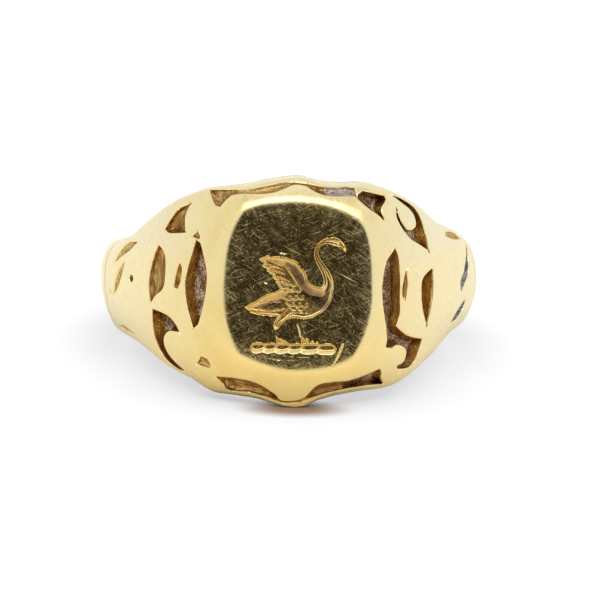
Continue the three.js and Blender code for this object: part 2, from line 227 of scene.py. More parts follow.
def table_drop(x, z):
    """How far the face lies behind the table's plane."""
    d = beyond_table(np.stack([x, z], 1))
    span = ROLL_END - ROLL_START
    u = np.clip((d - ROLL_START) / span, 0, 1)
    rolled = span * (u ** 3 - 0.5 * u ** 4)
    drop = FLANK_SLOPE * (rolled + np.maximum(d - ROLL_END, 0))
    beyond = np.maximum(drop - FAR_DROP, 0) / FLANK_SLOPE
    return np.minimum(drop, FAR_DROP) + beyond * np.interp(np.abs(x), *FAR_SLOPES)


def outside(angle, side, table=True):
    """Outside radius of the hoop."""
    turn = np.abs(wrap(angle))
    rise = SHOULDER_RISE * np.exp((CREST_ANGLE - np.maximum(turn, CREST_ANGLE * 0.75)) / SHOULDER_FALL)
    power = np.where(side > 0, np.interp(turn, ROUND_BLEND, UPPER_ROUNDS),
                     np.interp(turn, ROUND_BLEND, LOWER_ROUNDS))
    dome = np.maximum(1 - np.abs(side) ** power, 0) ** (1 / power)
    radius = RIM_RADIUS + (SHANK_REACH + rise - RIM_RADIUS) * dome
    if not table:
        return np.where(turn < 60, np.minimum(radius, TABLE_REACH / np.cos(np.radians(turn))), radius)
    front = turn < 45
    a = np.where(front, np.radians(wrap(angle)), 0)
    x = TABLE_REACH * np.tan(a)
    up = height_of(angle, side)
    plane = np.full(len(radius), 99.0)
    near = front & (radius > RIM_RADIUS + 0.1)
    plane[near] = (TABLE_REACH - table_drop(x[near], up[near])) / np.cos(a[near])
    return np.where(near, smooth_min(radius, plane, MERGE), radius)


def under_skin(angle, side):
    return np.maximum(outside(angle, side, table=False) - SKIN, LINER_RIM_RADIUS)


def finger_side(angle, side):
    turn = wrap(angle)
    reach = np.where(side > 0, upper_edge(turn), lower_edge(turn))
    from_edge = reach * (1 - np.abs(side))
    return FINGER_RADIUS + INNER_EASE * (np.clip(1 - from_edge / INNER_EASE, 0, 1)) ** 2


def on_hoop(angle, radius, up):
    a = np.radians(angle)
    return np.stack([radius * np.sin(a), -radius * np.cos(a), up], -1)


# %% [markdown]
# ## Outlines on the unrolled band
# The openings were drawn on the plate with a scriber and sawn out: leaves beside the block, slits,
# corner nicks and hooked scrolls. Each is an outline of a few points; where an outline passes through a
# sharp tip the tip is listed, and the rest is smoothed by the saw. The block and the two edge strips are
# outlines too, and whatever is left of the skin belongs to the shoulders.

# %% The block, the strips and the openings
BLOCK = [
    (-4.05, 4.42), (-3.6, 4.96), (-2.98, 5.06), (-1.6, 5.14), (-0.9, 5.36), (-0.3, 5.62), (0.3, 5.56),
    (0.6, 5.38), (1.1, 5.14), (1.7, 5.04), (2.86, 5.06), (3.5, 4.45), (4.4, 3.72), (4.66, 2.3),
    (4.28, 1.02), (4.16, 0.06), (4.28, -0.92), (4.5, -1.75), (4.72, -2.6), (4.62, -4.2), (3.55, -4.6),
    (2.7, -4.82), (1.78, -4.9), (1.1, -5.1), (0.4, -5.86), (-0.7, -5.98), (-1.06, -5.66), (-1.56, -5.3),
    (-2.05, -5.04), (-2.72, -4.86), (-4.1, -4.72), (-4.72, -3.75), (-5.2, -2.2), (-4.9, -1.43),
    (-4.66, -0.52), (-4.56, 0.39), (-4.6, 0.98), (-4.84, 1.86), (-5.14, 2.6),
]
BLOCK_CORNERS = (1, 10, 13, 18, 19, 30, 32, 38)
UPPER_STRIP = [
    (-5.05, 5.18), (-3.6, 5.2), (-2.6, 5.28), (-1.6, 5.5), (-0.9, 5.68), (-0.3, 5.7), (0.4, 5.64),
    (1.1, 5.5), (1.9, 5.46), (2.5, 5.52), (3.2, 5.4), (3.2, 8), (-5.05, 8),
]
LOWER_STRIP = [
    (-3.95, -5.36), (-3.3, -5.5), (-2.5, -5.52), (-1.6, -5.74), (-1.0, -5.96), (-0.6, -6.08),
    (0.3, -6.0), (0.9, -5.76), (1.6, -5.5), (2.4, -5.32), (3.2, -5.2), (4.0, -5.12), (4.9, -5.1),
    (4.9, -8), (-3.95, -8),
]
GUTTERS = [
    [(-3.4, 4), (2.95, 4), (2.95, 8), (-3.4, 8)],
    [(-3.4, -8), (3.55, -8), (3.55, -4), (-3.4, -4)],
]
# each opening: its points, and which of them are sharp tips
OPENINGS = {
    "left_long_leaf": ([(-5.3, 2.52), (-4.5, 1.9), (-4.3, 0.4), (-4.6, -1.4), (-5.4, -2.2), (-5.75, -1.04),
                        (-5.9, 0.1), (-5.75, 0.95), (-5.5, 1.8)], (0, 4)),
    "left_nick": ([(-5.56, 2.7), (-5.26, 2.95), (-5.0, 2.56)], (0, 1, 2)),
    "left_slit": ([(-6.33, 1.17), (-6.17, 1.0), (-6.2, 0.4), (-6.42, -0.14), (-6.62, -0.04),
                   (-6.55, 0.56)], (3,)),
    "left_outer_leaf": ([(-7.97, 2.1), (-7.57, 1.77), (-7.37, 1.3), (-7.36, 0.4), (-7.52, -0.2),
                         (-8.1, -0.62), (-8.46, -1.0), (-8.58, -0.1), (-8.5, 0.74), (-8.3, 1.45)], (0, 6)),
    "left_fin": ([(-6.1, 4.36), (-6.26, 3.9), (-6.24, 3.45), (-6.08, 2.88), (-7.2, 2.8), (-7.62, 2.95),
                  (-7.3, 3.5), (-6.85, 4.05)], (0, 3, 5)),
    "left_scroll": ([(-8.38, -1.38), (-7.75, -1.5), (-7.1, -1.7), (-6.65, -2.08), (-6.42, -2.46),
                     (-7.1, -2.46), (-7.5, -2.66), (-7.72, -3.05), (-7.66, -3.55), (-7.3, -4.05),
                     (-6.62, -4.62), (-7.3, -4.45), (-7.95, -3.95), (-8.35, -3.1), (-8.45, -2.2)],
                    (0, 4, 10)),
    "left_pit": ([(-5.04, -3.72), (-4.5, -3.9), (-4.6, -4.3), (-5.36, -4.12)], (0, 1, 2, 3)),
    "left_slash": ([(-10.1, 2.1), (-10.7, 1.7), (-11.5, 1.35), (-12.6, 0.85), (-11.9, 1.6),
                    (-11.0, 2.05)], (0, 3)),
    "left_low_slash": ([(-11.1, 1.0), (-11.4, 0.3), (-11.9, -0.4), (-12.7, -0.95), (-12.2, 0.0),
                        (-11.7, 0.6)], (0, 3)),
    "left_crescent": ([(-12.7, -2.62), (-11.8, -2.56), (-10.8, -2.9), (-11.8, -2.8)], (0, 2)),
    "left_speck": ([(-13.3, -0.7), (-13.1, -0.6), (-13.05, -0.8), (-13.25, -0.86)], ()),
    "left_low_speck": ([(-13.0, -1.5), (-12.85, -1.42), (-12.8, -1.6), (-12.95, -1.64)], ()),
    "left_dot": ([(-10.5, 0.15), (-10.4, 0.31), (-10.22, 0.31), (-10.12, 0.15), (-10.22, -0.01),
                  (-10.4, -0.01)], ()),
    "right_long_leaf": ([(5.0, 2.3), (5.22, 1.74), (5.32, 0.69), (5.34, -0.44), (5.4, -1.2), (5.2, -1.9),
                         (5.75, -2.26), (6.4, -2.53), (7.42, -2.7), (7.33, -3.12), (7.26, -3.66),
                         (7.03, -4.05), (6.6, -4.25), (5.9, -4.25), (5.8, -4.1), (6.18, -3.95),
                         (6.3, -3.6), (6.2, -3.2), (5.83, -2.98), (5.44, -2.9), (5.1, -3.05),
                         (4.6, -2.9), (4.4, -1.8), (4.0, 0.06), (4.2, 1.2)], (0, 5, 8, 13, 20)),
    "right_slit": ([(5.76, 1.12), (5.88, 0.37), (5.78, -0.52), (5.56, -0.38), (5.52, 0.23)], (0, 2)),
    "right_outer_leaf": ([(7.86, 1.12), (7.93, 0.14), (7.82, -0.92), (7.6, -1.88), (7.17, -1.05),
                          (6.98, -0.13), (7.1, 0.62)], (0, 3)),
    "right_scroll": ([(5.41, 5.05), (6.2, 4.8), (6.95, 4.36), (7.25, 3.8), (7.41, 2.93), (7.55, 2.12),
                      (6.8, 2.48), (6.26, 2.72), (5.87, 3.05), (5.5, 3.5), (5.3, 3.95), (5.36, 4.25),
                      (5.56, 3.72), (5.85, 3.32), (6.1, 3.2), (6.47, 3.25), (6.75, 3.5), (6.72, 3.98),
                      (6.45, 4.35), (6.0, 4.65)], (0, 5, 11)),
    "right_oblong": ([(9.8, 2.98), (10.5, 2.96), (11.3, 2.78), (11.7, 2.55), (10.65, 2.57),
                      (9.7, 2.8)], (0, 3, 5)),
    "right_slash": ([(13.3, 2.5), (12.5, 2.0), (11.9, 1.3), (11.5, 0.75), (11.0, 0.25), (11.2, -0.42),
                     (11.75, 0.15), (12.4, 0.66), (12.6, 1.4), (12.95, 2.0)], (0, 5)),
    "right_low_slash": ([(12.1, -0.75), (11.5, -1.0), (10.9, -1.4), (10.35, -2.0), (11.3, -1.75),
                         (12.0, -1.2)], (0, 3)),
    "corner_upper_right": ([(3.05, 5.1), (3.4, 5.3), (4.72, 5.02), (4.7, 4.8), (4.26, 4.35), (4.4, 3.8),
                            (4.1, 3.86), (3.0, 4.9)], (0, 1, 2, 5, 6, 7)),
    "corner_upper_left": ([(-5.1, 5.16), (-4.0, 5.2), (-3.3, 5.24), (-3.3, 4.9), (-3.9, 4.3), (-4.4, 4.4)],
                          (0, 1, 2, 3, 4, 5)),
    "corner_lower_right": ([(4.5, -4.2), (4.72, -4.36), (4.86, -4.75), (5.2, -5.06), (4.0, -5.12),
                            (3.3, -5.2), (3.3, -4.5)], (0, 3, 4, 5, 6)),
    "corner_lower_left": ([(-4.25, -4.78), (-3.4, -4.78), (-3.4, -5.55), (-3.84, -5.42),
                           (-3.92, -5.12)], (0, 1, 2, 3, 4)),
}


def sawn_loop(points, tips, per_side=5):
    """Smooths an outline between its sharp tips."""
    p = np.array(points, float)
    count = len(p)
    sharp = np.zeros(count, bool)
    sharp[list(tips)] = True
    made = []
    for i in range(count):
        a, b = p[i], p[(i + 1) % count]
        before = a if sharp[i] else p[i - 1]
        after = b if sharp[(i + 1) % count] else p[(i + 2) % count]
        leave = (b - before) * (1.0 if sharp[i] else 0.5)
        arrive = (after - a) * (1.0 if sharp[(i + 1) % count] else 0.5)
        for u in np.arange(per_side) / per_side:
            h1, h2 = (1 + 2 * u) * (1 - u) ** 2, u * (1 - u) ** 2
            h3, h4 = u * u * (3 - 2 * u), u * u * (u - 1)
            made.append(h1 * a + h2 * leave + h3 * b + h4 * arrive)
    return np.array(made)


opening_loops = {name: sawn_loop(*drawn) for name, drawn in OPENINGS.items()}
block_loop = sawn_loop(BLOCK, BLOCK_CORNERS, 4)
strip_loops = {"upper_edge_strip": np.array(UPPER_STRIP), "lower_edge_strip": np.array(LOWER_STRIP)}
print(len(opening_loops), "openings")

# %% [markdown]
# ## The seal
# The table carries a long-necked bird with raised wings over a twisted wreath, cut hollow so that it
# stands up in wax. It could be a bump in the material, but it is deep enough to hide its own walls and to
# show in the outline, so it is cut into the mesh. Each stroke of the graver is a tapered groove along a
# path; the body is a sunk field, and the feather lines are ridges left standing in it.

# %% Strokes of the graver, as [x, z] on the table
def smooth_path(points, per_side=6):
    """An open curve through the points."""
    p = np.array(points, float)
    if len(p) < 3:
        return p
    slope = np.gradient(p, axis=0)
    u = (np.arange(per_side) / per_side)[:, None]
    h1, h2 = (1 + 2 * u) * (1 - u) ** 2, u * (1 - u) ** 2
    h3, h4 = u * u * (3 - 2 * u), u * u * (u - 1)
    made = [h1 * p[i] + h2 * slope[i] + h3 * p[i + 1] + h4 * slope[i + 1] for i in range(len(p) - 1)]
    return np.vstack(made + [p[-1:]])


def groove(points, path, widths, fullness):
    """Depth from 0 to 1 of a tapered groove; fullness 1 is a V cut and 0.4 a round one."""
    line = smooth_path(path)
    stops = np.linspace(0, 1, len(widths))
    half = np.interp(np.linspace(0, 1, len(line)), stops, widths) / 2
    found = np.zeros(len(points))
    near = ((points > line.min(0) - 0.5) & (points < line.max(0) + 0.5)).all(1)
    p = points[near]
    best = np.zeros(len(p))
    for a, b, wa, wb in zip(line[:-1], line[1:], half[:-1], half[1:]):
        along = b - a
        t = np.clip(((p - a) @ along) / max(along @ along, 1e-9), 0, 1)
        gap = np.hypot(*(p - a - t[:, None] * along).T)
        width = np.maximum(wa + (wb - wa) * t, 1e-4)
        profile = 1 - (1 - np.clip(1 - gap / width, 0, 1)) ** (1 / fullness)
        best = np.maximum(best, profile * np.minimum(width / 0.06, 1))
    found[near] = best
    return found


BODY = [
    (-2.09, 1.64), (-1.72, 1.82), (-1.1, 1.8), (-0.52, 1.72), (-0.1, 1.52), (0.32, 1.02), (0.49, 0.5),
    (0.85, 0.24), (1.3, 0.16), (1.86, 0.16), (1.78, -0.3), (1.71, -0.56), (1.5, -0.88), (1.23, -1.15),
    (0.81, -1.37), (0.33, -1.49), (-0.16, -1.41), (-0.52, -1.49), (-0.84, -1.72), (-1.05, -2.04),
    (-1.2, -2.06), (-1.26, -1.9), (-1.2, -1.66), (-1.02, -1.38), (-1.95, -1.32), (-2.51, -1.18),
    (-2.8, -0.91), (-2.29, -0.64), (-1.72, -0.27), (-1.25, -0.12), (-0.94, 0.06), (-1.0, 0.2),
    (-1.2, 0.46), (-1.14, 0.56), (-1.38, 0.66), (-1.32, 0.78), (-1.68, 1.04), (-1.6, 1.14),
    (-1.94, 1.28), (-1.8, 1.42),
]
BODY_DEPTH = 0.2
WALL_WIDTH = 0.11
HOLLOW = 0.5
CUTS = [
    # path, widths, depth, fullness
    ([(2.46, 2.14), (2.34, 2.4), (2.1, 2.56), (1.9, 2.62)], (0.05, 0.16, 0.3, 0.34), 0.14, 0.6),
    ([(2.02, 2.62), (1.75, 2.68), (1.4, 2.66), (1.08, 2.46), (0.92, 2.12), (0.97, 1.76), (1.2, 1.36),
      (1.46, 0.94), (1.6, 0.5), (1.56, 0.16), (1.3, -0.2)],
     (0.36, 0.34, 0.24, 0.16, 0.17, 0.22, 0.3, 0.38, 0.46, 0.56, 0.6), 0.16, 0.5),
    ([(-1.0, 1.98), (-0.65, 1.93)], (0.05, 0.09, 0.04), 0.05, 0.8),
    ([(-1.78, 0.39), (-1.66, 0.35)], (0.06, 0.07, 0.04), 0.05, 0.8),
    ([(-0.01, -1.81), (0.1, -2.1), (0.17, -2.47)], (0.04, 0.07, 0.04), 0.06, 0.8),
    ([(2.42, -2.84), (2.22, -3.4), (1.92, -3.98)], (0.12, 0.1, 0.03), 0.1, 0.7),
    ([(-1.12, -2.42), (-1.04, -2.58), (-0.98, -2.76)], (0.04, 0.14, 0.26), 0.14, 0.6),
    ([(-0.9, -2.54), (-0.8, -2.78)], (0.04, 0.24), 0.12, 0.6),
    ([(-0.66, -2.64), (-0.58, -2.82)], (0.04, 0.2), 0.11, 0.6),
    ([(0.24, -2.42), (0.3, -2.58), (0.36, -2.76)], (0.04, 0.14, 0.28), 0.14, 0.6),
    ([(0.5, -2.54), (0.58, -2.78)], (0.04, 0.26), 0.13, 0.6),
    ([(0.78, -2.64), (0.86, -2.82)], (0.04, 0.22), 0.11, 0.6),
    ([(1.06, -2.72), (1.12, -2.86)], (0.04, 0.16), 0.1, 0.6),
]
WREATH_WAISTS = (-2.48, -1.74, -1.14, -0.42, 0.24, 1.12, 2.08)
WREATH_MIDDLE = -3.06
# ridges left standing between the feathers: path, widths, share of the depth
RIDGES = [
    ([(-1.8, 1.62), (-1.1, 1.5), (-0.7, 1.28), (-0.4, 0.9), (-0.1, 0.48), (0.2, 0.05)],
     (0.05, 0.1, 0.12, 0.12, 0.09), 0.7),
    ([(-1.88, 1.36), (-1.3, 1.24), (-0.86, 1.1)], (0.06, 0.12, 0.05), 0.75),
    ([(-1.62, 1.1), (-1.2, 1.0), (-0.72, 0.84)], (0.06, 0.11, 0.05), 0.7),
    ([(-1.34, 0.72), (-0.95, 0.64), (-0.5, 0.5)], (0.06, 0.11, 0.05), 0.7),
    ([(-1.16, 0.46), (-0.8, 0.38), (-0.35, 0.26)], (0.06, 0.1, 0.05), 0.65),
    ([(-0.96, 0.06), (-0.5, 0.04), (-0.1, -0.05)], (0.06, 0.1, 0.05), 0.6),
    ([(-2.78, -0.95), (-2.2, -1.06), (-1.4, -1.1), (-0.72, -1.02)], (0.05, 0.12, 0.13, 0.07), 0.9),
    ([(-2.2, -0.74), (-1.6, -0.66), (-0.9, -0.62)], (0.04, 0.07, 0.04), 0.4),
    ([(-1.18, -1.74), (-0.92, -1.4), (-0.62, -1.1), (-0.4, -0.8)], (0.05, 0.08, 0.08, 0.04), 0.6),
    ([(-0.6, -1.42), (-0.2, -1.2), (0.5, -1.22)], (0.04, 0.09, 0.04), 0.5),
]
# coverts lie over the wing in rows, like tiles
COVERT_ROWS = [(-0.66, 0.44, 2), (-0.74, 0.1, 3), (-0.6, -0.26, 3), (-0.42, -0.62, 3), (-0.2, -0.98, 2)]
COVERT_STEP = 0.34
COVERT_DEEP = 0.25
# the deep band behind the wing's front edge and the breast keep their patina
PATINA = [
    ([(-0.62, 1.42), (-0.2, 1.12), (0.12, 0.6), (0.5, 0.05), (0.95, -0.35), (1.3, -0.62)],
     (0.24, 0.42, 0.5, 0.62, 1.0, 0.95)),
    ([(1.55, 0.7), (1.68, 0.3), (1.5, -0.1)], (0.14, 0.3, 0.3)),
    ([(-2.1, -0.85), (-1.4, -0.7), (-0.9, -0.6)], (0.1, 0.36, 0.3)),
]
SCRATCHES = [
    ([(-1.4, 2.6), (-0.3, 2.1), (0.81, 1.53)], 0.03, 0.012),
    ([(1.82, 1.11), (2.67, 0.69), (3.14, 0.42)], 0.035, 0.014),
    ([(-3.18, -0.22), (-2.22, -0.06)], 0.03, 0.012),
    ([(-2.3, -3.5), (-1.0, -3.72), (0.6, -3.74)], 0.035, 0.012),
    ([(-1.6, -3.42), (0.2, -3.56), (1.5, -3.5)], 0.03, 0.01),
    ([(-3.3, 2.4), (-2.5, 2.9), (-1.9, 3.4)], 0.03, 0.01),
    ([(0.6, 3.6), (1.5, 3.2), (2.6, 3.0)], 0.03, 0.01),
    ([(2.3, -0.6), (2.9, -1.3), (3.3, -1.9)], 0.03, 0.01),
]
body_loop = np.array(BODY)
print(len(CUTS), "cuts,", len(RIDGES), "ridges,", len(SCRATCHES), "deep scratches")


# %% Depth of the seal at any place of the table
def wreath_depth(points):
    """A twisted bar: a deep upper part between gold ridges, and a lower wall that slopes back out."""
    x, z = points.T
    left, right = WREATH_WAISTS[0], WREATH_WAISTS[-1]
    waists = np.array(WREATH_WAISTS[1:-1])
    nearest = np.abs(x[:, None] - 0.4 * (z[:, None] - WREATH_MIDDLE) - waists).min(1)
    swell = np.clip(nearest / 0.3, 0, 1) ** 0.6
    ends = np.clip(np.minimum(x - left, right - x) / 0.32, 0, 1)
    round_end = np.sqrt(np.maximum(1 - (1 - ends) ** 2, 0))
    top = WREATH_MIDDLE + round_end * (0.24 + 0.02 * swell)
    bottom = WREATH_MIDDLE - round_end * (0.2 + 0.1 * swell)
    upper_wall = np.clip((top - z) / 0.1, 0, 1)
    lower_wall = np.clip((z - bottom) / 0.22, 0, 1)
    ridge = 0.16 * np.clip(1 - nearest / 0.12, 0, 1) ** 2
    return 0.17 * np.sin(upper_wall * np.pi / 2) * lower_wall ** 0.9 * (1 - ridge)


def patina_at(x, z):
    points = np.stack([x, z], 1)
    found = np.zeros(len(points))
    for path, widths in PATINA:
        found = np.maximum(found, groove(points, path, widths, 0.6))
    return found


def seal_depth(x, z):
    points = np.stack([x, z], 1)
    near = (np.abs(x) < 3.6) & (z > -4.2) & (z < 4)
    p = points[near]
    edge = distance_to(p, body_loop, np.roll(body_loop, -1, 0))
    inner = np.where(inside_loop(p, body_loop), edge, 0)
    wall = np.clip(inner / WALL_WIDTH, 0, 1)
    field = BODY_DEPTH * (0.62 * np.sin(wall * np.pi / 2) + 0.38 * np.clip(inner / HOLLOW, 0, 1) ** 0.8)
    ridge = np.zeros(len(p))
    for path, widths, share in RIDGES:
        ridge = np.maximum(ridge, share * groove(p, path, widths, 0.8))
    for start, level, count in COVERT_ROWS:
        for k in range(count):
            stray = 0.05 * math.sin(7 * k + 5 * level)
            u = (p[:, 0] - start - k * COVERT_STEP + 0.4 * (p[:, 1] - level)) / (COVERT_STEP * 0.56)
            v = (p[:, 1] - level - stray) / COVERT_DEEP
            ring = np.abs(np.hypot(u, np.where(v < 0, v * 1.4, 9)) - 1)
            ridge = np.maximum(ridge, 0.1 * np.clip(1 - ring / 0.55, 0, 1) ** 1.5)
    depth = field * (1 - ridge)
    for path, widths, deep, fullness in CUTS:
        depth = np.maximum(depth, deep * groove(p, path, widths, fullness))
    depth = np.maximum(depth, wreath_depth(p))
    for path, width, deep in SCRATCHES:
        depth = np.maximum(depth, deep * groove(p, path, (width * 0.4, width, width * 0.4), 1) / 0.25)
    found = np.zeros(len(points))
    found[near] = depth
    return found


# %% [markdown]
# ## One net for the whole skin
# The head, the two shoulders and the two edge strips are one skin on the real ring, so they are cut from
# one net of triangles: every outline is a line of the net, and each triangle is given to the piece that
# it lies in. Booleans would leave long slivers that spoil the polish; a net that follows each outline keeps
# the reflections clean right up to the edges.

# %% Which piece a place belongs to
CUT, HEAD, UPPER, LOWER, LEFT, RIGHT, NOTHING = range(7)
corner_names = [name for name in opening_loops if name.startswith("corner")]
sawn_names = [name for name in opening_loops if not name.startswith("corner")]


def piece_at(points):
    angle = np.degrees(points[:, 0] / UNROLL_RADIUS)
    up = points[:, 1]
    label = np.where(points[:, 0] < 0, LEFT, RIGHT)
    opened = np.zeros(len(points), bool)
    for name in sawn_names:
        opened |= inside_loop(points, opening_loops[name])
    for gutter in GUTTERS:
        opened |= inside_loop(points, np.array(gutter, float))
    label[opened] = CUT
    label[inside_loop(points, strip_loops["upper_edge_strip"])] = UPPER
    label[inside_loop(points, strip_loops["lower_edge_strip"])] = LOWER
    cornered = np.zeros(len(points), bool)
    for name in corner_names:
        cornered |= inside_loop(points, opening_loops[name])
    label[cornered] = CUT
    label[inside_loop(points, block_loop)] = HEAD
    off = (up > upper_edge(angle) + 1e-6) | (up < -lower_edge(angle) - 1e-6)
    label[off | (np.abs(angle) > FRONT_HALF_ANGLE + 1e-4)] = NOTHING
    return label


def resampled(loop, step, closed=True):
    """The same outline with a point every step or so."""
    ends = np.roll(loop, -1, 0) if closed else loop[1:]
    made = []
    for a, b in zip(loop, ends):
        pieces = max(1, int(np.ceil(np.hypot(*(b - a)) / step)))
        made += [a + (b - a) * k / pieces for k in range(pieces)]
    if not closed:
        made.append(loop[-1])
    return np.array(made)


def without_crumbs(faces, label):
    """Bits of a shoulder that the saw frees are given to the cut."""
    owner, edges_of = {}, []
    for index, face in enumerate(faces.tolist()):
        pairs = [(min(a, b), max(a, b)) for a, b in zip(face, face[1:] + face[:1])]
        edges_of.append(pairs)
        for pair in pairs:
            owner.setdefault(pair, []).append(index)
    beside = [[] for _ in faces]
    for pair in owner.values():
        if len(pair) == 2 and label[pair[0]] == label[pair[1]]:
            beside[pair[0]].append(pair[1])
            beside[pair[1]].append(pair[0])
    seen = np.zeros(len(faces), int)
    group = 0
    sizes = {}
    for first in range(len(faces)):
        if seen[first]:
            continue
        group += 1
        stack, members = [first], []
        seen[first] = group
        while stack:
            at = stack.pop()
            members.append(at)
            for other in beside[at]:
                if not seen[other]:
                    seen[other] = group
                    stack.append(other)
        sizes[group] = (label[first], members)
    for piece in (HEAD, UPPER, LOWER, LEFT, RIGHT):
        groups = [members for owner_label, members in sizes.values() if owner_label == piece]
        for members in sorted(groups, key=len)[:-1]:
            touching = [label[other] for member in members for pair in edges_of[member]
                        for other in owner[pair] if label[other] != piece]
            label[members] = HEAD if HEAD in touching else CUT
    return label


def triangles(points, edges, tolerance=1e-5):
    made = delaunay_2d_cdt([Vector(p) for p in points.tolist()], edges, [], 0, tolerance)
    corners = np.array([tuple(v) for v in made[0]])
    faces = np.array([list(f) for f in made[2]])
    a, b, c = corners[faces[:, 0]], corners[faces[:, 1]], corners[faces[:, 2]]
    area = (b[:, 0] - a[:, 0]) * (c[:, 1] - a[:, 1]) - (b[:, 1] - a[:, 1]) * (c[:, 0] - a[:, 0])
    faces[area < 0] = faces[area < 0][:, ::-1]
    return corners, faces[np.abs(area) > 1e-9]


# %% Outlines first: where one piece ends and the next begins
OUTLINE_STEP = 0.08
END = np.radians(FRONT_HALF_ANGLE) * UNROLL_RADIUS
rim_across = np.linspace(-END, END, 300)
rim_angle = np.degrees(rim_across / UNROLL_RADIUS)
rim = np.vstack([
    np.stack([rim_across, upper_edge(rim_angle)], 1),
    np.stack([np.full(20, END), np.linspace(upper_edge(rim_angle[-1:])[0], -lower_edge(rim_angle[-1:])[0],
                                            22)[1:-1]], 1),
    np.stack([rim_across, -lower_edge(rim_angle)], 1)[::-1],
    np.stack([np.full(20, -END), np.linspace(-lower_edge(rim_angle[:1])[0], upper_edge(rim_angle[:1])[0],
                                             22)[1:-1]], 1),
])
lines = [rim, resampled(block_loop, OUTLINE_STEP)]
lines += [resampled(loop, OUTLINE_STEP) for loop in strip_loops.values()]
lines += [resampled(np.array(gutter, float), OUTLINE_STEP) for gutter in GUTTERS]
lines += [resampled(loop, OUTLINE_STEP) for loop in opening_loops.values()]
line_points, line_edges, count = [], [], 0
for loop in lines:
    line_edges += [(count + i, count + (i + 1) % len(loop)) for i in range(len(loop))]
    line_points.append(loop)
    count += len(loop)
corners, faces = triangles(np.vstack(line_points), line_edges)
label = without_crumbs(faces, piece_at(corners[faces].mean(1)))


def borders(faces, label):
    """Edges between different pieces: the edge's ends and the labels on its two sides."""
    sides = {}
    for index, face in enumerate(faces.tolist()):
        for a, b in zip(face, face[1:] + face[:1]):
            sides.setdefault((min(a, b), max(a, b)), []).append(label[index])
    real, seam = [], []
    for edge, found in sides.items():
        pair = found if len(found) == 2 else found + [NOTHING]
        if pair[0] == pair[1] or {pair[0], pair[1]} == {CUT, NOTHING}:
            continue
        (real if CUT in pair or NOTHING in pair else seam).append(edge)
    return real, seam


real_edges, seam_edges = borders(faces, label)
real_from = corners[[e[0] for e in real_edges]]
real_to = corners[[e[1] for e in real_edges]]
print(len(real_edges), "sawn edges,", len(seam_edges), "joint edges")

# %% [markdown]
# The second net keeps only the outlines that matter and fills the pieces with points: close together along
# each sawn edge, where the polish has rounded it, closer still inside the seal, and wide apart on the plain
# shoulders. Even spacing fine enough for the seal would need millions of triangles.

# %% Points of the second net
EDGE_ROUND = 0.1
EDGE_RINGS = (0.012, 0.03, 0.055, 0.085, 0.12)
PLAIN_COLUMNS = 150
PLAIN_ROWS = 40
HEAD_STEP = 0.085
SEAL_STEP = 0.027
SEAL_WINDOW = (-3.35, 3.3, -4.1, 3.0)


def near_distance(points, reach=0.4, strip=0.4):
    """Distance to the nearest sawn edge, looked up in strips so that it stays quick."""
    found = np.full(len(points), reach)
    low = np.minimum(real_from[:, 0], real_to[:, 0]) - reach
    high = np.maximum(real_from[:, 0], real_to[:, 0]) + reach
    for left in np.arange(-END - 1, END + 1, strip):
        inside = (points[:, 0] >= left) & (points[:, 0] < left + strip)
        close = (low < left + strip) & (high > left)
        if inside.any() and close.any():
            gap = distance_to(points[inside], real_from[close], real_to[close])
            found[inside] = np.minimum(found[inside], gap)
    return found


def ring_points():
    """Rows of points that run beside each sawn edge."""
    made = []
    middle = (real_from + real_to) / 2
    along = real_to - real_from
    length = np.hypot(*along.T)
    keep = length > 1e-4
    normal = np.stack([-along[:, 1], along[:, 0]], 1)[keep] / length[keep, None]
    for reach in EDGE_RINGS:
        for sign in (1, -1):
            shifted = middle[keep] + sign * reach * normal
            gap = near_distance(shifted)
            made.append(shifted[np.abs(gap - reach) < reach * 0.04])
    return np.vstack(made)


across = np.linspace(-END, END, PLAIN_COLUMNS + 1)[1:-1]
rows = np.sin(np.linspace(-np.pi / 2, np.pi / 2, 2 * PLAIN_ROWS + 1))[1:-1]
grid_across, grid_side = [v.ravel() for v in np.meshgrid(across, rows, indexing="ij")]
grid_up = height_of(np.degrees(grid_across / UNROLL_RADIUS), grid_side)
plain = np.stack([grid_across, grid_up], 1)


def table_grid(step, x0, x1, z0, z1):
    """A square grid on the table, carried to the unrolled band."""
    x, z = [v.ravel() for v in np.meshgrid(np.arange(x0, x1, step), np.arange(z0, z1, step), indexing="ij")]
    return np.stack([np.arctan(x / TABLE_REACH) * UNROLL_RADIUS, z], 1), x, z


def in_window(x, z, window=SEAL_WINDOW):
    return (x > window[0]) & (x < window[1]) & (z > window[2]) & (z < window[3])


fine, fine_x, fine_z = table_grid(SEAL_STEP, *SEAL_WINDOW)
cut_here = seal_depth(fine_x, fine_z)
spread = cut_here.reshape(len(np.arange(SEAL_WINDOW[0], SEAL_WINDOW[1], SEAL_STEP)), -1) > 0
grown = spread.copy()
for _ in range(2):
    grown[1:] |= grown[:-1].copy()
    grown[:-1] |= grown[1:].copy()
    grown[:, 1:] |= grown[:, :-1].copy()
    grown[:, :-1] |= grown[:, 1:].copy()
fine_keep = grown.ravel()
head_grid, head_x, head_z = table_grid(HEAD_STEP, -5.8, 5.4, -6.0, 5.7)
column = np.clip(((head_x - SEAL_WINDOW[0]) / SEAL_STEP).astype(int), 0, grown.shape[0] - 1)
row = np.clip(((head_z - SEAL_WINDOW[2]) / SEAL_STEP).astype(int), 0, grown.shape[1] - 1)
taken = in_window(head_x, head_z) & grown[column, row]
head_grid = head_grid[~taken & (piece_at(head_grid) == HEAD)]
plain = plain[piece_at(plain) != HEAD]
inner = np.vstack([plain, head_grid, fine[fine_keep & (piece_at(fine) == HEAD)]])
inner = inner[near_distance(inner) > EDGE_RINGS[-1] * 1.15]
net_edges = real_edges + seam_edges
used = sorted({i for edge in net_edges for i in edge})
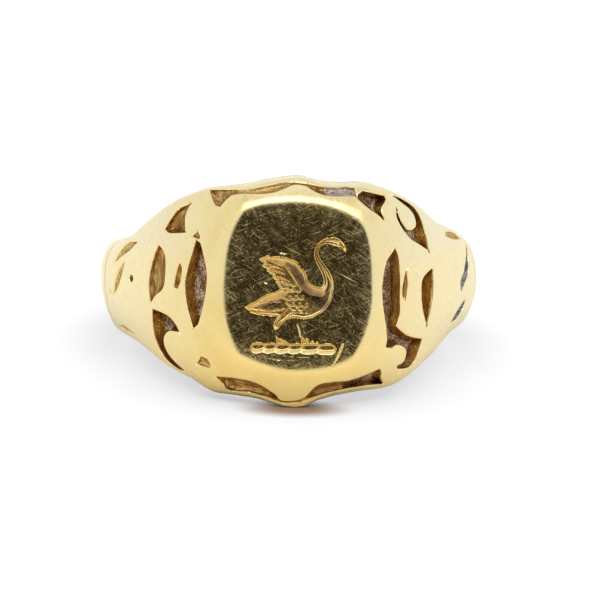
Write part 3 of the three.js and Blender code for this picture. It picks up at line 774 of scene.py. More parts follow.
place = {old: new for new, old in enumerate(used)}
net_points = np.vstack([corners[used], ring_points(), inner])
net, net_faces = triangles(net_points, [(place[a], place[b]) for a, b in net_edges])
net_label = without_crumbs(net_faces, piece_at(net[net_faces].mean(1)))
print(len(net), "points,", {i: int((net_label == i).sum()) for i in range(6)})


# %% Carrying the net out to the ring
def surface(points, drop=0.0):
    """Places on the outside of the ring, with the seal cut in and the sawn edges rounded."""
    angle = np.degrees(points[:, 0] / UNROLL_RADIUS)
    side = side_of(angle, points[:, 1])
    gap = near_distance(points)
    worn = np.clip(1 - gap / EDGE_ROUND, 0, 1)
    rounding = EDGE_ROUND * (1 - np.sqrt(np.maximum(1 - worn ** 2, 0)))
    off_rim = np.clip((1 - np.abs(side)) / 0.05, 0, 1)
    radius = outside(angle, side) - rounding * 0.8 * off_rim - drop
    place = on_hoop(angle, radius, points[:, 1])
    depth = np.zeros(len(points))
    front = np.abs(angle) < 25
    depth[front] = seal_depth(place[front, 0], place[front, 2])
    place[:, 1] += depth
    return place, depth, gap


def floor_under(points, lift=0.0):
    angle = np.degrees(points[:, 0] / UNROLL_RADIUS)
    return on_hoop(angle, under_skin(angle, side_of(angle, points[:, 1])) + lift, points[:, 1])


net_place, net_depth, net_gap = surface(net)
print("deepest cut of the seal", round(float(net_depth.max()), 3), "mm")


def make_piece(name, place, faces, materials, slots=None, layers=None, unrolled=None, sharp=40):
    """A mesh object at the origin from places in millimetres."""
    mesh = bpy.data.meshes.new(name)
    mesh.from_pydata((place * MM).tolist(), [], faces)
    mesh.update()
    for material in materials:
        mesh.materials.append(material)
    if slots is not None:
        mesh.polygons.foreach_set("material_index", np.asarray(slots, np.int32))
    for layer, values in (layers or {}).items():
        stored = mesh.attributes.new(layer, "FLOAT", "POINT")
        stored.data.foreach_set("value", np.asarray(values, np.float32))
    if unrolled is not None:
        loops = np.empty(len(mesh.loops), np.int32)
        mesh.loops.foreach_get("vertex_index", loops)
        chart = mesh.uv_layers.new(name="unrolled")
        chart.data.foreach_set("uv", (np.asarray(unrolled)[loops] * 0.1).astype(np.float32).ravel())
    mesh.shade_smooth()
    mesh.set_sharp_from_angle(angle=math.radians(sharp))
    made = bpy.data.objects.new(name, mesh)
    bpy.context.collection.objects.link(made)
    return made


# %% [markdown]
# ## Closing a piece of skin
# Each piece gets its sawn walls and its underside, so that it is a solid that could be cast. The wall goes
# down in a few steps, each set in or out a little, because a hand-held saw never leaves a true wall.

# %% From a patch of the net to a closed piece
WALL_STEPS = 5
SAW_WANDER = 0.03
DRAFT = 0.24
DRAFT_SHARE = 0.55


def draft_of(flat, border):
    """How far the foot of the wall runs out under each border point: direction and reach."""
    normal = np.zeros_like(flat)
    start, end = np.array(border).T
    along = flat[end] - flat[start]
    outward = np.stack([along[:, 1], -along[:, 0]], 1) / np.maximum(np.hypot(*along.T), 1e-9)[:, None]
    beyond = (flat[start] + flat[end]) / 2 + outward * 0.015
    outward[piece_at(beyond) != CUT] = 0
    np.add.at(normal, start, outward)
    np.add.at(normal, end, outward)
    length = np.hypot(*normal.T)
    normal /= np.maximum(length, 1e-9)[:, None]
    reach = np.zeros(len(flat))
    open_side = length > 0.5
    going = open_side.copy()
    for step in np.arange(0.06, 0.6, 0.06):
        tried = np.flatnonzero(going)
        gap = near_distance(flat[tried] + normal[tried] * step, 0.8)
        going[tried[gap < step * 0.9]] = False
        reach[going] = step
    for _ in range(4):
        total, weight = reach.copy(), np.ones(len(flat))
        for a, b in ((start, end), (end, start)):
            np.add.at(total, a, reach[b])
            np.add.at(weight, a, 1)
        reach = np.where(open_side, np.minimum(total / weight, reach + 0.05), 0)
    return normal * np.minimum(reach * DRAFT_SHARE, DRAFT)[:, None]


def loops_of(faces):
    """The directed border edges of a patch of triangles."""
    edges = {}
    for face in faces.tolist():
        for a, b in zip(face, face[1:] + face[:1]):
            edges[(a, b)] = True
    return [edge for edge in edges if (edge[1], edge[0]) not in edges]


def skin_piece(name, which, top_material, wall_material):
    chosen = net_faces[net_label == which]
    used = np.unique(chosen)
    index = np.full(len(net), -1)
    index[used] = np.arange(len(used))
    top = index[chosen]
    flat = net[used]
    border = loops_of(top)
    rim_points = np.array(sorted({i for edge in border for i in edge}))
    on_rim = {old: new for new, old in enumerate(rim_points.tolist())}
    lower = floor_under(flat[rim_points], BED)
    upper = net_place[used][rim_points]
    place, chart, wall = [net_place[used]], [flat], []
    count = len(used)
    rings = [rim_points]
    draft = draft_of(flat, border)[rim_points]
    foot_spot = flat[rim_points] + draft
    foot = np.where(np.hypot(*draft.T)[:, None] > 0, floor_under(foot_spot, -0.01), lower)
    for step in range(1, WALL_STEPS + 2):
        share = min(step / WALL_STEPS, 1)
        sideways = share ** 1.4
        ring = upper + (lower - upper) * share + (foot - lower) * sideways
        wave = np.sin(flat[rim_points, 0] * 21 + step * 1.7) * np.sin(flat[rim_points, 1] * 17 - step)
        ring[:, 2] += SAW_WANDER * wave * math.sin(math.pi * share) * (np.hypot(*draft.T) > 0)
        place.append(ring if step <= WALL_STEPS else lower)
        chart.append(flat[rim_points])
        rings.append(np.arange(count, count + len(rim_points)))
        count += len(rim_points)
    for first, second in zip(rings[:-1], rings[1:]):
        for a, b in border:
            i, j = on_rim[a], on_rim[b]
            wall.append([first[j], first[i], second[i], second[j]])
    coarse = plain[::3]
    coarse = coarse[(piece_at(coarse) == which) & (near_distance(coarse) > 0.2)]
    under, under_faces = triangles(
        np.vstack([flat[rim_points], coarse]), [(on_rim[a], on_rim[b]) for a, b in border], 1e-7)
    under_label = piece_at(under[under_faces].mean(1))
    under_faces = under_faces[under_label == which]
    place.append(floor_under(under[len(rim_points):], BED))
    chart.append(under[len(rim_points):])
    under_index = np.concatenate([rings[-1], np.arange(count, count + len(under) - len(rim_points))])
    bottom = under_index[under_faces[:, ::-1]]
    place, chart = np.vstack(place), np.vstack(chart)
    extra = len(place) - len(used)
    layers = {
        "wear": np.concatenate([np.clip(1 - net_gap[used] / 0.3, 0, 1), np.zeros(extra)]),
        "depth": np.concatenate([net_depth[used] / BODY_DEPTH, np.zeros(extra)]),
        "border": np.concatenate([np.clip(1 + beyond_table(net_place[used][:, [0, 2]]) / 1.6, 0, 1),
                                  np.ones(extra)]),
        "patina": np.concatenate([patina_at(*net_place[used][:, [0, 2]].T) * (net_depth[used] > 0.03),
                                  np.zeros(extra)]),
        "deep": np.concatenate([np.zeros(len(used)), np.repeat(np.minimum(np.arange(1, WALL_STEPS + 2)
                                / WALL_STEPS, 1), len(rim_points)), np.ones(extra - (WALL_STEPS + 1)
                                * len(rim_points))]),
    }
    faces = top.tolist() + wall + bottom.tolist()
    slots = [0] * len(top) + [1] * (len(wall) + len(bottom))
    print(name, len(place), "points", len(faces), "faces")
    return make_piece(name, place, faces, [top_material, wall_material], slots, layers, chart)

# %% [markdown]
# ## Finishes
# Gold has no pattern of its own. What the eye reads is wear: fine scratches that run every way, soft waves
# left by the file, brighter rubbed edges and brown dirt spots. These effects are shader node groups, made
# once and shared. An image could hold them too, but nodes stay sharp at any distance. Beside them, the
# materials paint shade into the deep parts of cuts and walls, and paint the gold paler as a sheen.

# %% Small helpers for node trees
def group_sockets(tree, inputs, outputs):
    for name, kind, value in inputs:
        socket = tree.interface.new_socket(name, in_out="INPUT", socket_type=kind)
        if value is not None:
            socket.default_value = value
    for name, kind in outputs:
        tree.interface.new_socket(name, in_out="OUTPUT", socket_type=kind)
    return tree.nodes.new("NodeGroupInput"), tree.nodes.new("NodeGroupOutput")


def math_node(tree, operation, a, b=None, clamp=False):
    node = tree.nodes.new("ShaderNodeMath")
    node.operation = operation
    node.use_clamp = clamp
    for socket, value in zip(node.inputs, (a, b)):
        if value is None:
            continue
        if isinstance(value, (int, float)):
            socket.default_value = value
        else:
            tree.links.new(value, socket)
    return node.outputs[0]


def ramp_between(tree, value, low, high, to_low=0.0, to_high=1.0):
    node = tree.nodes.new("ShaderNodeMapRange")
    node.interpolation_type = "SMOOTHSTEP"
    for name, number in (("From Min", low), ("From Max", high), ("To Min", to_low), ("To Max", to_high)):
        node.inputs[name].default_value = number
    tree.links.new(value, node.inputs["Value"])
    return node.outputs["Result"]


def noise_node(tree, vector, scale, detail=2.0, roughness=0.5):
    node = tree.nodes.new("ShaderNodeTexNoise")
    node.inputs["Detail"].default_value = detail
    node.inputs["Roughness"].default_value = roughness
    if isinstance(scale, (int, float)):
        node.inputs["Scale"].default_value = scale
    else:
        tree.links.new(scale, node.inputs["Scale"])
    tree.links.new(vector, node.inputs["Vector"])
    return node.outputs["Fac"]


def mix_colours(tree, share, a, b):
    node = tree.nodes.new("ShaderNodeMix")
    node.data_type = "RGBA"
    for socket, value in ((node.inputs[0], share), (node.inputs[6], a), (node.inputs[7], b)):
        if isinstance(value, (int, float, tuple)):
            socket.default_value = value
        else:
            tree.links.new(value, socket)
    return node.outputs[2]


# %% Scratches that run every way
def scratches_group():
    tree = bpy.data.node_groups.new("worn_scratches", "ShaderNodeTree")
    inside, out = group_sockets(
        tree,
        [("Vector", "NodeSocketVector", None), ("Fineness", "NodeSocketFloat", 150.0),
         ("Threshold", "NodeSocketFloat", 0.66)],
        [("Height", "NodeSocketFloat"), ("Mask", "NodeSocketFloat")],
    )
    total = None
    layers = (0.35, 16, 0.0), (1.15, 22, 3.1), (-0.55, 18, 7.7), (2.2, 26, 5.2), (2.8, 14, 9.4)
    for turn, stretch, shift in layers:
        mapping = tree.nodes.new("ShaderNodeMapping")
        mapping.inputs["Rotation"].default_value = (0, 0, turn)
        mapping.inputs["Location"].default_value = (shift, shift * 0.7, 0)
        tree.links.new(inside.outputs["Vector"], mapping.inputs["Vector"])
        squeeze = tree.nodes.new("ShaderNodeVectorMath")
        squeeze.operation = "MULTIPLY"
        squeeze.inputs[1].default_value = (1, 1 / stretch, 1)
        tree.links.new(mapping.outputs["Vector"], squeeze.inputs[0])
        field = noise_node(tree, squeeze.outputs[0], inside.outputs["Fineness"], 1.0, 0.4)
        over = math_node(tree, "SUBTRACT", field, inside.outputs["Threshold"])
        line = math_node(tree, "MULTIPLY", over, 9.0, clamp=True)
        total = line if total is None else math_node(tree, "MAXIMUM", total, line)
    tree.links.new(math_node(tree, "MULTIPLY", total, -1.0), out.inputs["Height"])
    tree.links.new(total, out.inputs["Mask"])
    return tree


# %% Soft waves, grain and dirt
def waves_group():
    """The slow unevenness of hand-finished metal."""
    tree = bpy.data.node_groups.new("hand_waves", "ShaderNodeTree")
    inside, out = group_sockets(
        tree, [("Vector", "NodeSocketVector", None), ("Scale", "NodeSocketFloat", 700.0)],
        [("Height", "NodeSocketFloat")])
    tree.links.new(noise_node(tree, inside.outputs["Vector"], inside.outputs["Scale"], 2.0, 0.45),
                   out.inputs["Height"])
    return tree


def grain_group():
    """A rough cast skin: pits and lumps in two sizes."""
    tree = bpy.data.node_groups.new("cast_grain", "ShaderNodeTree")
    inside, out = group_sockets(
        tree, [("Vector", "NodeSocketVector", None), ("Scale", "NodeSocketFloat", 9000.0)],
        [("Height", "NodeSocketFloat"), ("Pits", "NodeSocketFloat")])
    coarse = noise_node(tree, inside.outputs["Vector"], inside.outputs["Scale"], 3.0, 0.65)
    cells = tree.nodes.new("ShaderNodeTexVoronoi")
    tree.links.new(inside.outputs["Vector"], cells.inputs["Vector"])
    tree.links.new(math_node(tree, "MULTIPLY", inside.outputs["Scale"], 1.3), cells.inputs["Scale"])
    tree.links.new(math_node(tree, "ADD", coarse, cells.outputs["Distance"]), out.inputs["Height"])
    tree.links.new(ramp_between(tree, cells.outputs["Distance"], 0.25, 0.6), out.inputs["Pits"])
    return tree


SCRATCHES_GROUP, WAVES_GROUP, GRAIN_GROUP = scratches_group(), waves_group(), grain_group()


def place_group(tree, group, vector, **values):
    node = tree.nodes.new("ShaderNodeGroup")
    node.node_tree = group
    tree.links.new(vector, node.inputs["Vector"])
    for name, value in values.items():
        node.inputs[name].default_value = value
    return node


def bump(tree, height, strength, distance, normal=None):
    node = tree.nodes.new("ShaderNodeBump")
    node.inputs["Strength"].default_value = strength
    node.inputs["Distance"].default_value = distance
    tree.links.new(height, node.inputs["Height"])
    if normal is not None:
        tree.links.new(normal, node.inputs["Normal"])
    return node.outputs["Normal"]


def new_material(name):
    material = bpy.data.materials.new(name)
    material.use_nodes = True
    tree = material.node_tree
    shader = tree.nodes["Principled BSDF"]
    where = tree.nodes.new("ShaderNodeTexCoord").outputs["Object"]
    return material, tree, shader, where


# %% Worn polished gold
def polished_gold(name, colour, red, roughness, fineness, threshold, depth, stain, duller_by, hairy):
    material, tree, shader, where = new_material(name)
    chart = tree.nodes.new("ShaderNodeUVMap")
    chart.uv_map = "unrolled"
    marks = place_group(tree, SCRATCHES_GROUP, chart.outputs[0], Fineness=fineness, Threshold=threshold)
    slow = place_group(tree, WAVES_GROUP, where, Scale=650.0)
    blotch = noise_node(tree, where, 420.0, 3.0, 0.6)
    tone = mix_colours(tree, ramp_between(tree, blotch, 0.42, 0.66), colour, red)
    rubbed = tree.nodes.new("ShaderNodeAttribute")
    rubbed.attribute_name = "wear"
    paler = tuple(min(1, c * 1.06 + 0.03) for c in colour[:3]) + (1,)
    across_ring = tree.nodes.new("ShaderNodeSeparateXYZ")
    tree.links.new(where, across_ring.inputs[0])
    # painted sheen: the gold is painted paler towards both ends and along the upper edge, in place of
    # highlights
    outward = math_node(tree, "ABSOLUTE", math_node(tree, "ADD", across_ring.outputs["X"], 0.0007))
    high = ramp_between(tree, across_ring.outputs["Z"], 0.0043, 0.0062, 0.0, 0.8)
    pale = math_node(tree, "MAXIMUM", ramp_between(tree, outward, 0.0025, 0.009), high)
    tone = mix_colours(tree, pale, tone, PAINTED_SHEEN_TONE)
    worn = math_node(tree, "MULTIPLY", rubbed.outputs["Fac"], 0.35)
    tone = mix_colours(tree, worn, tone, paler)
    hair = math_node(tree, "MULTIPLY", marks.outputs["Mask"], stain)
    tone = mix_colours(tree, hair, tone, SCRATCH_TONE)
    spot = noise_node(tree, where, 2600.0, 4.0, 0.7)
    dirt = math_node(tree, "MULTIPLY", ramp_between(tree, spot, 0.63, 0.78), DIRT)
    tone = mix_colours(tree, dirt, tone, DIRT_TONE)
    # painted shade: the seal's cuts are painted browner the deeper they go
    sunk = tree.nodes.new("ShaderNodeAttribute")
    sunk.attribute_name = "depth"
    bottom = ramp_between(tree, sunk.outputs["Fac"], 0.25, 0.95, 0.0, 0.75)
    tone = mix_colours(tree, bottom, tone, SUNK_SHADE_TONE)
    kept = tree.nodes.new("ShaderNodeAttribute")
    kept.attribute_name = "patina"
    film = math_node(tree, "MULTIPLY", kept.outputs["Fac"], ramp_between(tree, blotch, 0.35, 0.55, 0.6, 1.0))
    tree.links.new(mix_colours(tree, film, tone, PATINA_TONE), shader.inputs["Base Color"])
    cloud = ramp_between(tree, noise_node(tree, where, 1500.0, 4.0, 0.6), 0.35, 0.7,
                         roughness * 0.8, roughness * 1.35)
    hairs = place_group(tree, SCRATCHES_GROUP, chart.outputs[0], Fineness=fineness * 1.7)
    edge = tree.nodes.new("ShaderNodeAttribute")
    edge.attribute_name = "border"
    crowd = ramp_between(tree, edge.outputs["Fac"], 0.0, 1.0, 0.665, 0.57)
    tree.links.new(crowd, hairs.inputs["Threshold"])
    dull = math_node(tree, "ADD", math_node(tree, "MULTIPLY", marks.outputs["Mask"], duller_by),
                     math_node(tree, "MULTIPLY", hairs.outputs["Mask"], hairy))
    duller = math_node(tree, "ADD", cloud, dull)
    tree.links.new(math_node(tree, "ADD", duller, math_node(tree, "MULTIPLY", bottom, 0.1)),
                   shader.inputs["Roughness"])
    shader.inputs["Metallic"].default_value = 1.0
    soft = bump(tree, slow.outputs["Height"], 0.35, 0.00006)
    scored = bump(tree, marks.outputs["Height"], depth, 0.000005, soft)
    if hairy:
        scored = bump(tree, hairs.outputs["Height"], HAIR_STRENGTH, 0.000003, scored)
    tree.links.new(scored, shader.inputs["Normal"])
    return material


GOLD_TONE = (0.88, 0.72, 0.35, 1)
RED_TONE = (0.84, 0.655, 0.28, 1)
# painted sheen: the paler gold of the ends and the upper edge
PAINTED_SHEEN_TONE = (0.95, 0.86, 0.61, 1)
SCRATCH_TONE = (0.62, 0.46, 0.2, 1)
DIRT_TONE = (0.42, 0.24, 0.08, 1)
# painted shade: the brown of the seal's cuts, stronger with depth
SUNK_SHADE_TONE = (0.6, 0.38, 0.12, 1)
PATINA_TONE = (0.2, 0.11, 0.08, 1)
DIRT = 0.35
HAIR_STRENGTH = 0.4
gold = polished_gold("gold_polished", GOLD_TONE, RED_TONE, 0.19, 130.0, 0.65, 0.6, 0.22, 0.1, 0.0)
table_gold = polished_gold("gold_table", GOLD_TONE, RED_TONE, 0.13, 210.0, 0.65, 0.3, 0.0, 0.08, 0.1)


# %% Sawn walls, the recess floor and solder
def rough_metal(name, colour, dark, roughness, metallic, scale, height,
                low_shade=0.0, stained=0.5, drawn=(1, 1, 1)):
    material, tree, shader, where = new_material(name)
    along = tree.nodes.new("ShaderNodeVectorMath")
    along.operation = "MULTIPLY"
    along.inputs[1].default_value = drawn
    tree.links.new(where, along.inputs[0])
    where = along.outputs[0]
    grain = place_group(tree, GRAIN_GROUP, where, Scale=scale)
    cloud = noise_node(tree, where, scale * 0.2, 3.0, 0.6)
    mixed = math_node(tree, "MULTIPLY", grain.outputs["Pits"], 0.45)
    share = math_node(tree, "ADD", mixed, ramp_between(tree, cloud, 0.38, 0.6, 0.0, stained), clamp=True)
    # painted shade: darker towards the foot of each wall and the middle of each hollow, broken into streaks
    low = tree.nodes.new("ShaderNodeAttribute")
    low.attribute_name = "deep"
    streaks = tree.nodes.new("ShaderNodeVectorMath")
    streaks.operation = "MULTIPLY"
    streaks.inputs[1].default_value = (1, 1, 0.18)
    tree.links.new(where, streaks.inputs[0])
    wander = noise_node(tree, streaks.outputs[0], 5200.0, 3.0, 0.6)
    shaded_low = math_node(tree, "MULTIPLY", low.outputs["Fac"],
                          ramp_between(tree, wander, 0.35, 0.6, 0.25, 1.0))
    tone = mix_colours(tree, share, colour, dark)
    tree.links.new(mix_colours(tree, math_node(tree, "MULTIPLY", shaded_low, low_shade), tone, LOW_SHADE_TONE),
                   shader.inputs["Base Color"])
    tree.links.new(ramp_between(tree, grain.outputs["Height"], 0.4, 1.2, roughness * 0.8, roughness * 1.2),
                   shader.inputs["Roughness"])
    shader.inputs["Metallic"].default_value = metallic
    tree.links.new(bump(tree, grain.outputs["Height"], 0.8, height), shader.inputs["Normal"])
    return material


# painted shade colour for the deep parts of walls and hollows
LOW_SHADE_TONE = (0.13, 0.06, 0.02, 1)
wall_gold = rough_metal("gold_sawn_wall", (0.92, 0.68, 0.27, 1), (0.5, 0.27, 0.08, 1), 0.26, 1.0, 6000.0,
                        0.00003, 0.9)
floor_gold = rough_metal("gold_recess_floor", (0.86, 0.76, 0.66, 1), (0.2, 0.09, 0.03, 1), 0.36, 1.0, 7500.0,
                         0.00009, 0.0, 0.6)
scraped = ((0.9, 0.68, 0.3, 1), (0.42, 0.23, 0.07, 1), 0.25, 1.0, 5200.0, 0.00003, 0.6, 0.6)
scraped_gold = rough_metal("gold_scraped", *scraped, (1, 1, 0.2))
scraped_along = rough_metal("gold_scraped_along", *scraped, (0.2, 1, 1))
seam_solder = rough_metal("pale_solder", (0.92, 0.86, 0.68, 1), (0.75, 0.66, 0.5, 1), 0.25, 1.0, 6000.0,
                          0.00001)
solder = rough_metal("grey_solder", (0.5, 0.5, 0.5, 1), (0.08, 0.08, 0.08, 1), 0.38, 1.0, 6000.0, 0.00004)
silvery = rough_metal("silvery_floor", (0.9, 0.85, 0.8, 1), (0.45, 0.33, 0.25, 1), 0.35, 1.0, 7000.0,
                      0.00006)
print(len(bpy.data.materials), "materials,", len(bpy.data.node_groups), "groups")

# %% [markdown]
# ## The pieces of skin
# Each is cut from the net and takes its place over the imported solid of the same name.

# %% Head, shoulders and edge strips
def stands_for(piece, node):
    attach(piece, "root")
    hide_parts(node)


for node, which, top in (
    ("signet_head", HEAD, table_gold), ("left_shoulder", LEFT, gold), ("right_shoulder", RIGHT, gold),
    ("upper_edge_strip", UPPER, gold), ("lower_edge_strip", LOWER, gold),
):
    stands_for(skin_piece(node + "_fine", which, top, wall_gold), node)


# %% [markdown]
# Not every opening goes down to the liner. The slits, nicks and slashes are shallow cuts with a scraped,
# hollow bottom that still catches the light. A closed insert fills each of them to its own depth; it rises
# towards its border, as a cut from a round graver does.

# %% Hollow bottoms of the shallow cuts
SHALLOW = {
    "left_nick": 0.26, "left_slit": 0.4, "left_outer_leaf": 0.52, "left_fin": 0.5, "left_pit": 0.26,
    "left_slash": 0.3, "left_low_slash": 0.3, "right_slit": 0.42, "right_oblong": 0.3,
    "right_slash": 0.26, "right_low_slash": 0.26, "left_crescent": 0.2, "corner_upper_left": 0.45,
    "corner_lower_left": 0.5,
}
SHALLOW_GUTTERS = [
    ([(-3.4, 4.7), (0.9, 4.9), (0.9, 6.0), (-3.4, 6.0)], 0.3),
    ([(0.9, 4.7), (2.96, 4.7), (2.96, 6.0), (0.9, 6.0)], 0.5),
    ([(-3.4, -6.4), (2.6, -6.4), (2.6, -4.4), (-3.4, -4.4)], 0.42),
]
SILVERY = (1.3, 2.96, 4.7, 6.0)
HOLLOW_START = 0.07
HOLLOW_REACH = 0.13
GREY_FROM = 10.9
GREY_UNDER = 2.3


def hollow_bottoms():
    chosen = np.flatnonzero(net_label == CUT)
    middle = net[net_faces[chosen]].mean(1)
    depth = np.zeros(len(chosen))
    for gutter, deep in SHALLOW_GUTTERS:
        depth[inside_loop(middle, np.array(gutter, float))] = deep
    for opening, deep in SHALLOW.items():
        depth[inside_loop(middle, opening_loops[opening])] = deep
    triangles_in, depth = net_faces[chosen[depth > 0]], depth[depth > 0]
    used = np.unique(triangles_in)
    index = np.full(len(net), -1)
    index[used] = np.arange(len(used))
    top = index[triangles_in]
    deepest = np.zeros(len(used))
    np.maximum.at(deepest, top.ravel(), np.repeat(depth, 3))
    flat = net[used]
    angle = np.degrees(flat[:, 0] / UNROLL_RADIUS)
    side = side_of(angle, flat[:, 1])
    sunk = HOLLOW_START + (deepest - HOLLOW_START) * (1 - np.exp(-near_distance(flat) / HOLLOW_REACH))
    radius = np.maximum(outside(angle, side) - sunk, under_skin(angle, side) + 0.02)
    above, below = on_hoop(angle, radius, flat[:, 1]), floor_under(flat, 0.005)
    count = len(used)
    walls = [[b, a, a + count, b + count] for a, b in loops_of(top)]
    faces = top.tolist() + walls + (top[:, ::-1] + count).tolist()
    spot = flat[top].mean(1)
    finish = ((spot[:, 0] > GREY_FROM) & (spot[:, 1] < GREY_UNDER)) * 1
    finish[(spot[:, 0] > SILVERY[0]) & (spot[:, 0] < SILVERY[1]) & (spot[:, 1] > SILVERY[2])] = 2
    finish[(finish == 0) & (np.abs(spot[:, 0]) < 3.6) & (np.abs(spot[:, 1]) > 4.6)] = 3
    slots = finish.tolist() + [0] * (len(walls) + len(top))
    share = np.clip(near_distance(flat) / 0.25, 0, 1)
    layers = {"deep": np.concatenate([share, share])}
    return make_piece("scraped_bottoms", np.vstack([above, below]), faces,
                      [scraped_gold, solder, silvery, scraped_along], slots, layers,
                      np.vstack([flat, flat]))


bottoms = hollow_bottoms()
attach(bottoms, "root")
print(len(bottoms.data.polygons), "faces in the hollow bottoms")

# %% [markdown]
# ## Liner, shank and solder seams
# These follow the hoop with no cuts, so they are lofted: one section of points carried round the finger and
# closed at both ends. The liner's outside is the floor that shows through every opening.

# %% A closed length of hoop
def hoop_piece(name, start, end, steps, outer_steps, inner_steps, inner, outer, materials, slot_of):
    outer_side = np.sin(np.linspace(-np.pi / 2, np.pi / 2, outer_steps + 1))
    inner_side = np.sin(np.linspace(np.pi / 2, -np.pi / 2, inner_steps + 1))
    around = len(outer_side) + len(inner_side)
    place, chart = [], []
    for angle in np.linspace(start, end, steps + 1):
        for sides, radius in ((outer_side, outer), (inner_side, inner)):
            at = np.full(len(sides), angle % 360)
            place.append(on_hoop(at, radius(at, sides), height_of(at, sides)))
            chart.append(np.stack([np.full(len(sides), np.radians(angle) * UNROLL_RADIUS),
                                   height_of(at, sides)], 1))
    place, chart = np.vstack(place), np.vstack(chart)
    faces, slots = [], []
    for row in range(steps):
        for k in range(around):
            a, b = row * around + k, row * around + (k + 1) % around
            faces.append([a, a + around, b + around, b])
            slots.append(slot_of(k < outer_steps, start + (end - start) * row / steps))
    faces.append(list(range(around)))
    faces.append([steps * around + k for k in range(around)][::-1])
    slots += [0, 0]
    layers = {"wear": np.zeros(len(place))}
    piece = make_piece(name, place, faces, materials, slots, layers, chart, 60)
    print(name, len(place), "points")
    return piece


SOLDER_FROM = 58
seam_turn = math.degrees(SEAM_THICKNESS / SHANK_REACH)
liner = hoop_piece("liner_fine", -FRONT_HALF_ANGLE, FRONT_HALF_ANGLE, 300, 70, 20, finger_side, under_skin,
                   [gold, floor_gold, solder],
                   lambda on_outside, angle: 0 if not on_outside else (2 if angle > SOLDER_FROM else 1))
stands_for(liner, "liner")
shank = hoop_piece("shank_fine", FRONT_HALF_ANGLE + seam_turn, 360 - FRONT_HALF_ANGLE - seam_turn,
                   240, 48, 20, finger_side, outside, [gold], lambda on_outside, angle: 0)
stands_for(shank, "shank")
for node, sign in (("solder_seam_left", -1), ("solder_seam_right", 1)):
    start, end = sorted((sign * FRONT_HALF_ANGLE, sign * (FRONT_HALF_ANGLE + seam_turn)))
    seam = hoop_piece(node + "_fine", start, end, 2, 48, 20, finger_side, outside, [seam_solder],
                      lambda on_outside, angle: 0)
    stands_for(seam, node)

# %% [markdown]
# ## Grains on the recess floor
# The floor of every opening was left as cast, with small beads of metal standing on it. They repeat by the
# hundred, so Geometry Nodes scatter them over the floor with a fixed seed, each with its own size and
# turn. A bump alone would give no shadow at the foot of the walls, where the grains show most.

# %% The patch of floor that shows, and the tree that strews it
shown = net_faces[net_label == CUT]
used = np.unique(shown)
index = np.full(len(net), -1)
index[used] = np.arange(len(used))
patch = bpy.data.meshes.new("grain_bed")
patch.from_pydata((floor_under(net[used], 0.005) * MM).tolist(), [], index[shown].tolist())


def grain_tree():
    tree = bpy.data.node_groups.new("strewn_grains", "GeometryNodeTree")
    inside, out = group_sockets(
        tree,
        [("Bed", "NodeSocketGeometry", None), ("Density", "NodeSocketFloat", 1e7),
         ("Grain size", "NodeSocketFloat", 0.00004), ("Seed", "NodeSocketInt", 7),
         ("Finish", "NodeSocketMaterial", None)],
        [("Grains", "NodeSocketGeometry")],
    )
    strew = tree.nodes.new("GeometryNodeDistributePointsOnFaces")
    tree.links.new(inside.outputs["Bed"], strew.inputs["Mesh"])
    tree.links.new(inside.outputs["Density"], strew.inputs["Density"])
    tree.links.new(inside.outputs["Seed"], strew.inputs["Seed"])
    ball = tree.nodes.new("GeometryNodeMeshIcoSphere")
    ball.inputs["Subdivisions"].default_value = 1
    tree.links.new(inside.outputs["Grain size"], ball.inputs["Radius"])
    turn = tree.nodes.new("FunctionNodeRandomValue")
    turn.data_type = "FLOAT_VECTOR"
    turn.inputs[1].default_value = (6.28, 6.28, 6.28)
    size = tree.nodes.new("FunctionNodeRandomValue")
    size.data_type = "FLOAT_VECTOR"
    size.inputs[0].default_value = (0.5, 0.5, 0.4)
    size.inputs[1].default_value = (1.5, 1.4, 1.2)
    for node in (turn, size):
        tree.links.new(inside.outputs["Seed"], node.inputs["Seed"])
    put = tree.nodes.new("GeometryNodeInstanceOnPoints")
    tree.links.new(strew.outputs["Points"], put.inputs["Points"])
    tree.links.new(ball.outputs["Mesh"], put.inputs["Instance"])
    tree.links.new(turn.outputs[0], put.inputs["Rotation"])
    tree.links.new(size.outputs[0], put.inputs["Scale"])
    real = tree.nodes.new("GeometryNodeRealizeInstances")
    tree.links.new(put.outputs["Instances"], real.inputs["Geometry"])
    finish = tree.nodes.new("GeometryNodeSetMaterial")
    tree.links.new(real.outputs["Geometry"], finish.inputs["Geometry"])
    tree.links.new(inside.outputs["Finish"], finish.inputs["Material"])
    tree.links.new(finish.outputs["Geometry"], out.inputs["Grains"])
    return tree


def set_input(modifier, name, value):
    for item in modifier.node_group.interface.items_tree:
        if item.item_type == "SOCKET" and item.in_out == "INPUT" and item.name == name:
            modifier[item.identifier] = value


bed = bpy.data.objects.new("grain_bed", patch)
bpy.context.collection.objects.link(bed)
strewer = bed.modifiers.new("grains", "NODES")
strewer.node_group = grain_tree()
for name, value in (("Density", 4.5e7), ("Grain size", 0.00003), ("Seed", 7), ("Finish", floor_gold)):
    set_input(strewer, name, value)
graph = bpy.context.evaluated_depsgraph_get()
grain_mesh = bpy.data.meshes.new_from_object(bed.evaluated_get(graph))
bpy.data.objects.remove(bed)
grain_mesh.shade_smooth()
grains = bpy.data.objects.new("recess_grains", grain_mesh)
bpy.context.collection.objects.link(grains)
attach(grains, "root")
print(len(grain_mesh.polygons) // 20, "grains")

# %% [markdown]
# ## Floor, light and camera
# The ring lies on a white surface on two points: the lower tip of the head and the edge of the shank behind,
# so the floor is tilted against the ring's own axes. Gold only shows what it reflects. A white surround
# makes the flanks pale, one dark card in front of the table turns it deep brown, and a brighter box
# overhead, with a dim gap above it, draws the highlight on the upper edge. Matte surfaces get a fifth more
# light than the surround alone would give. The floor isn't plain: it glows a little for the camera, its
# reflection in the gold is tinted, and a brownish patch painted under the ring imitates a contact shadow.

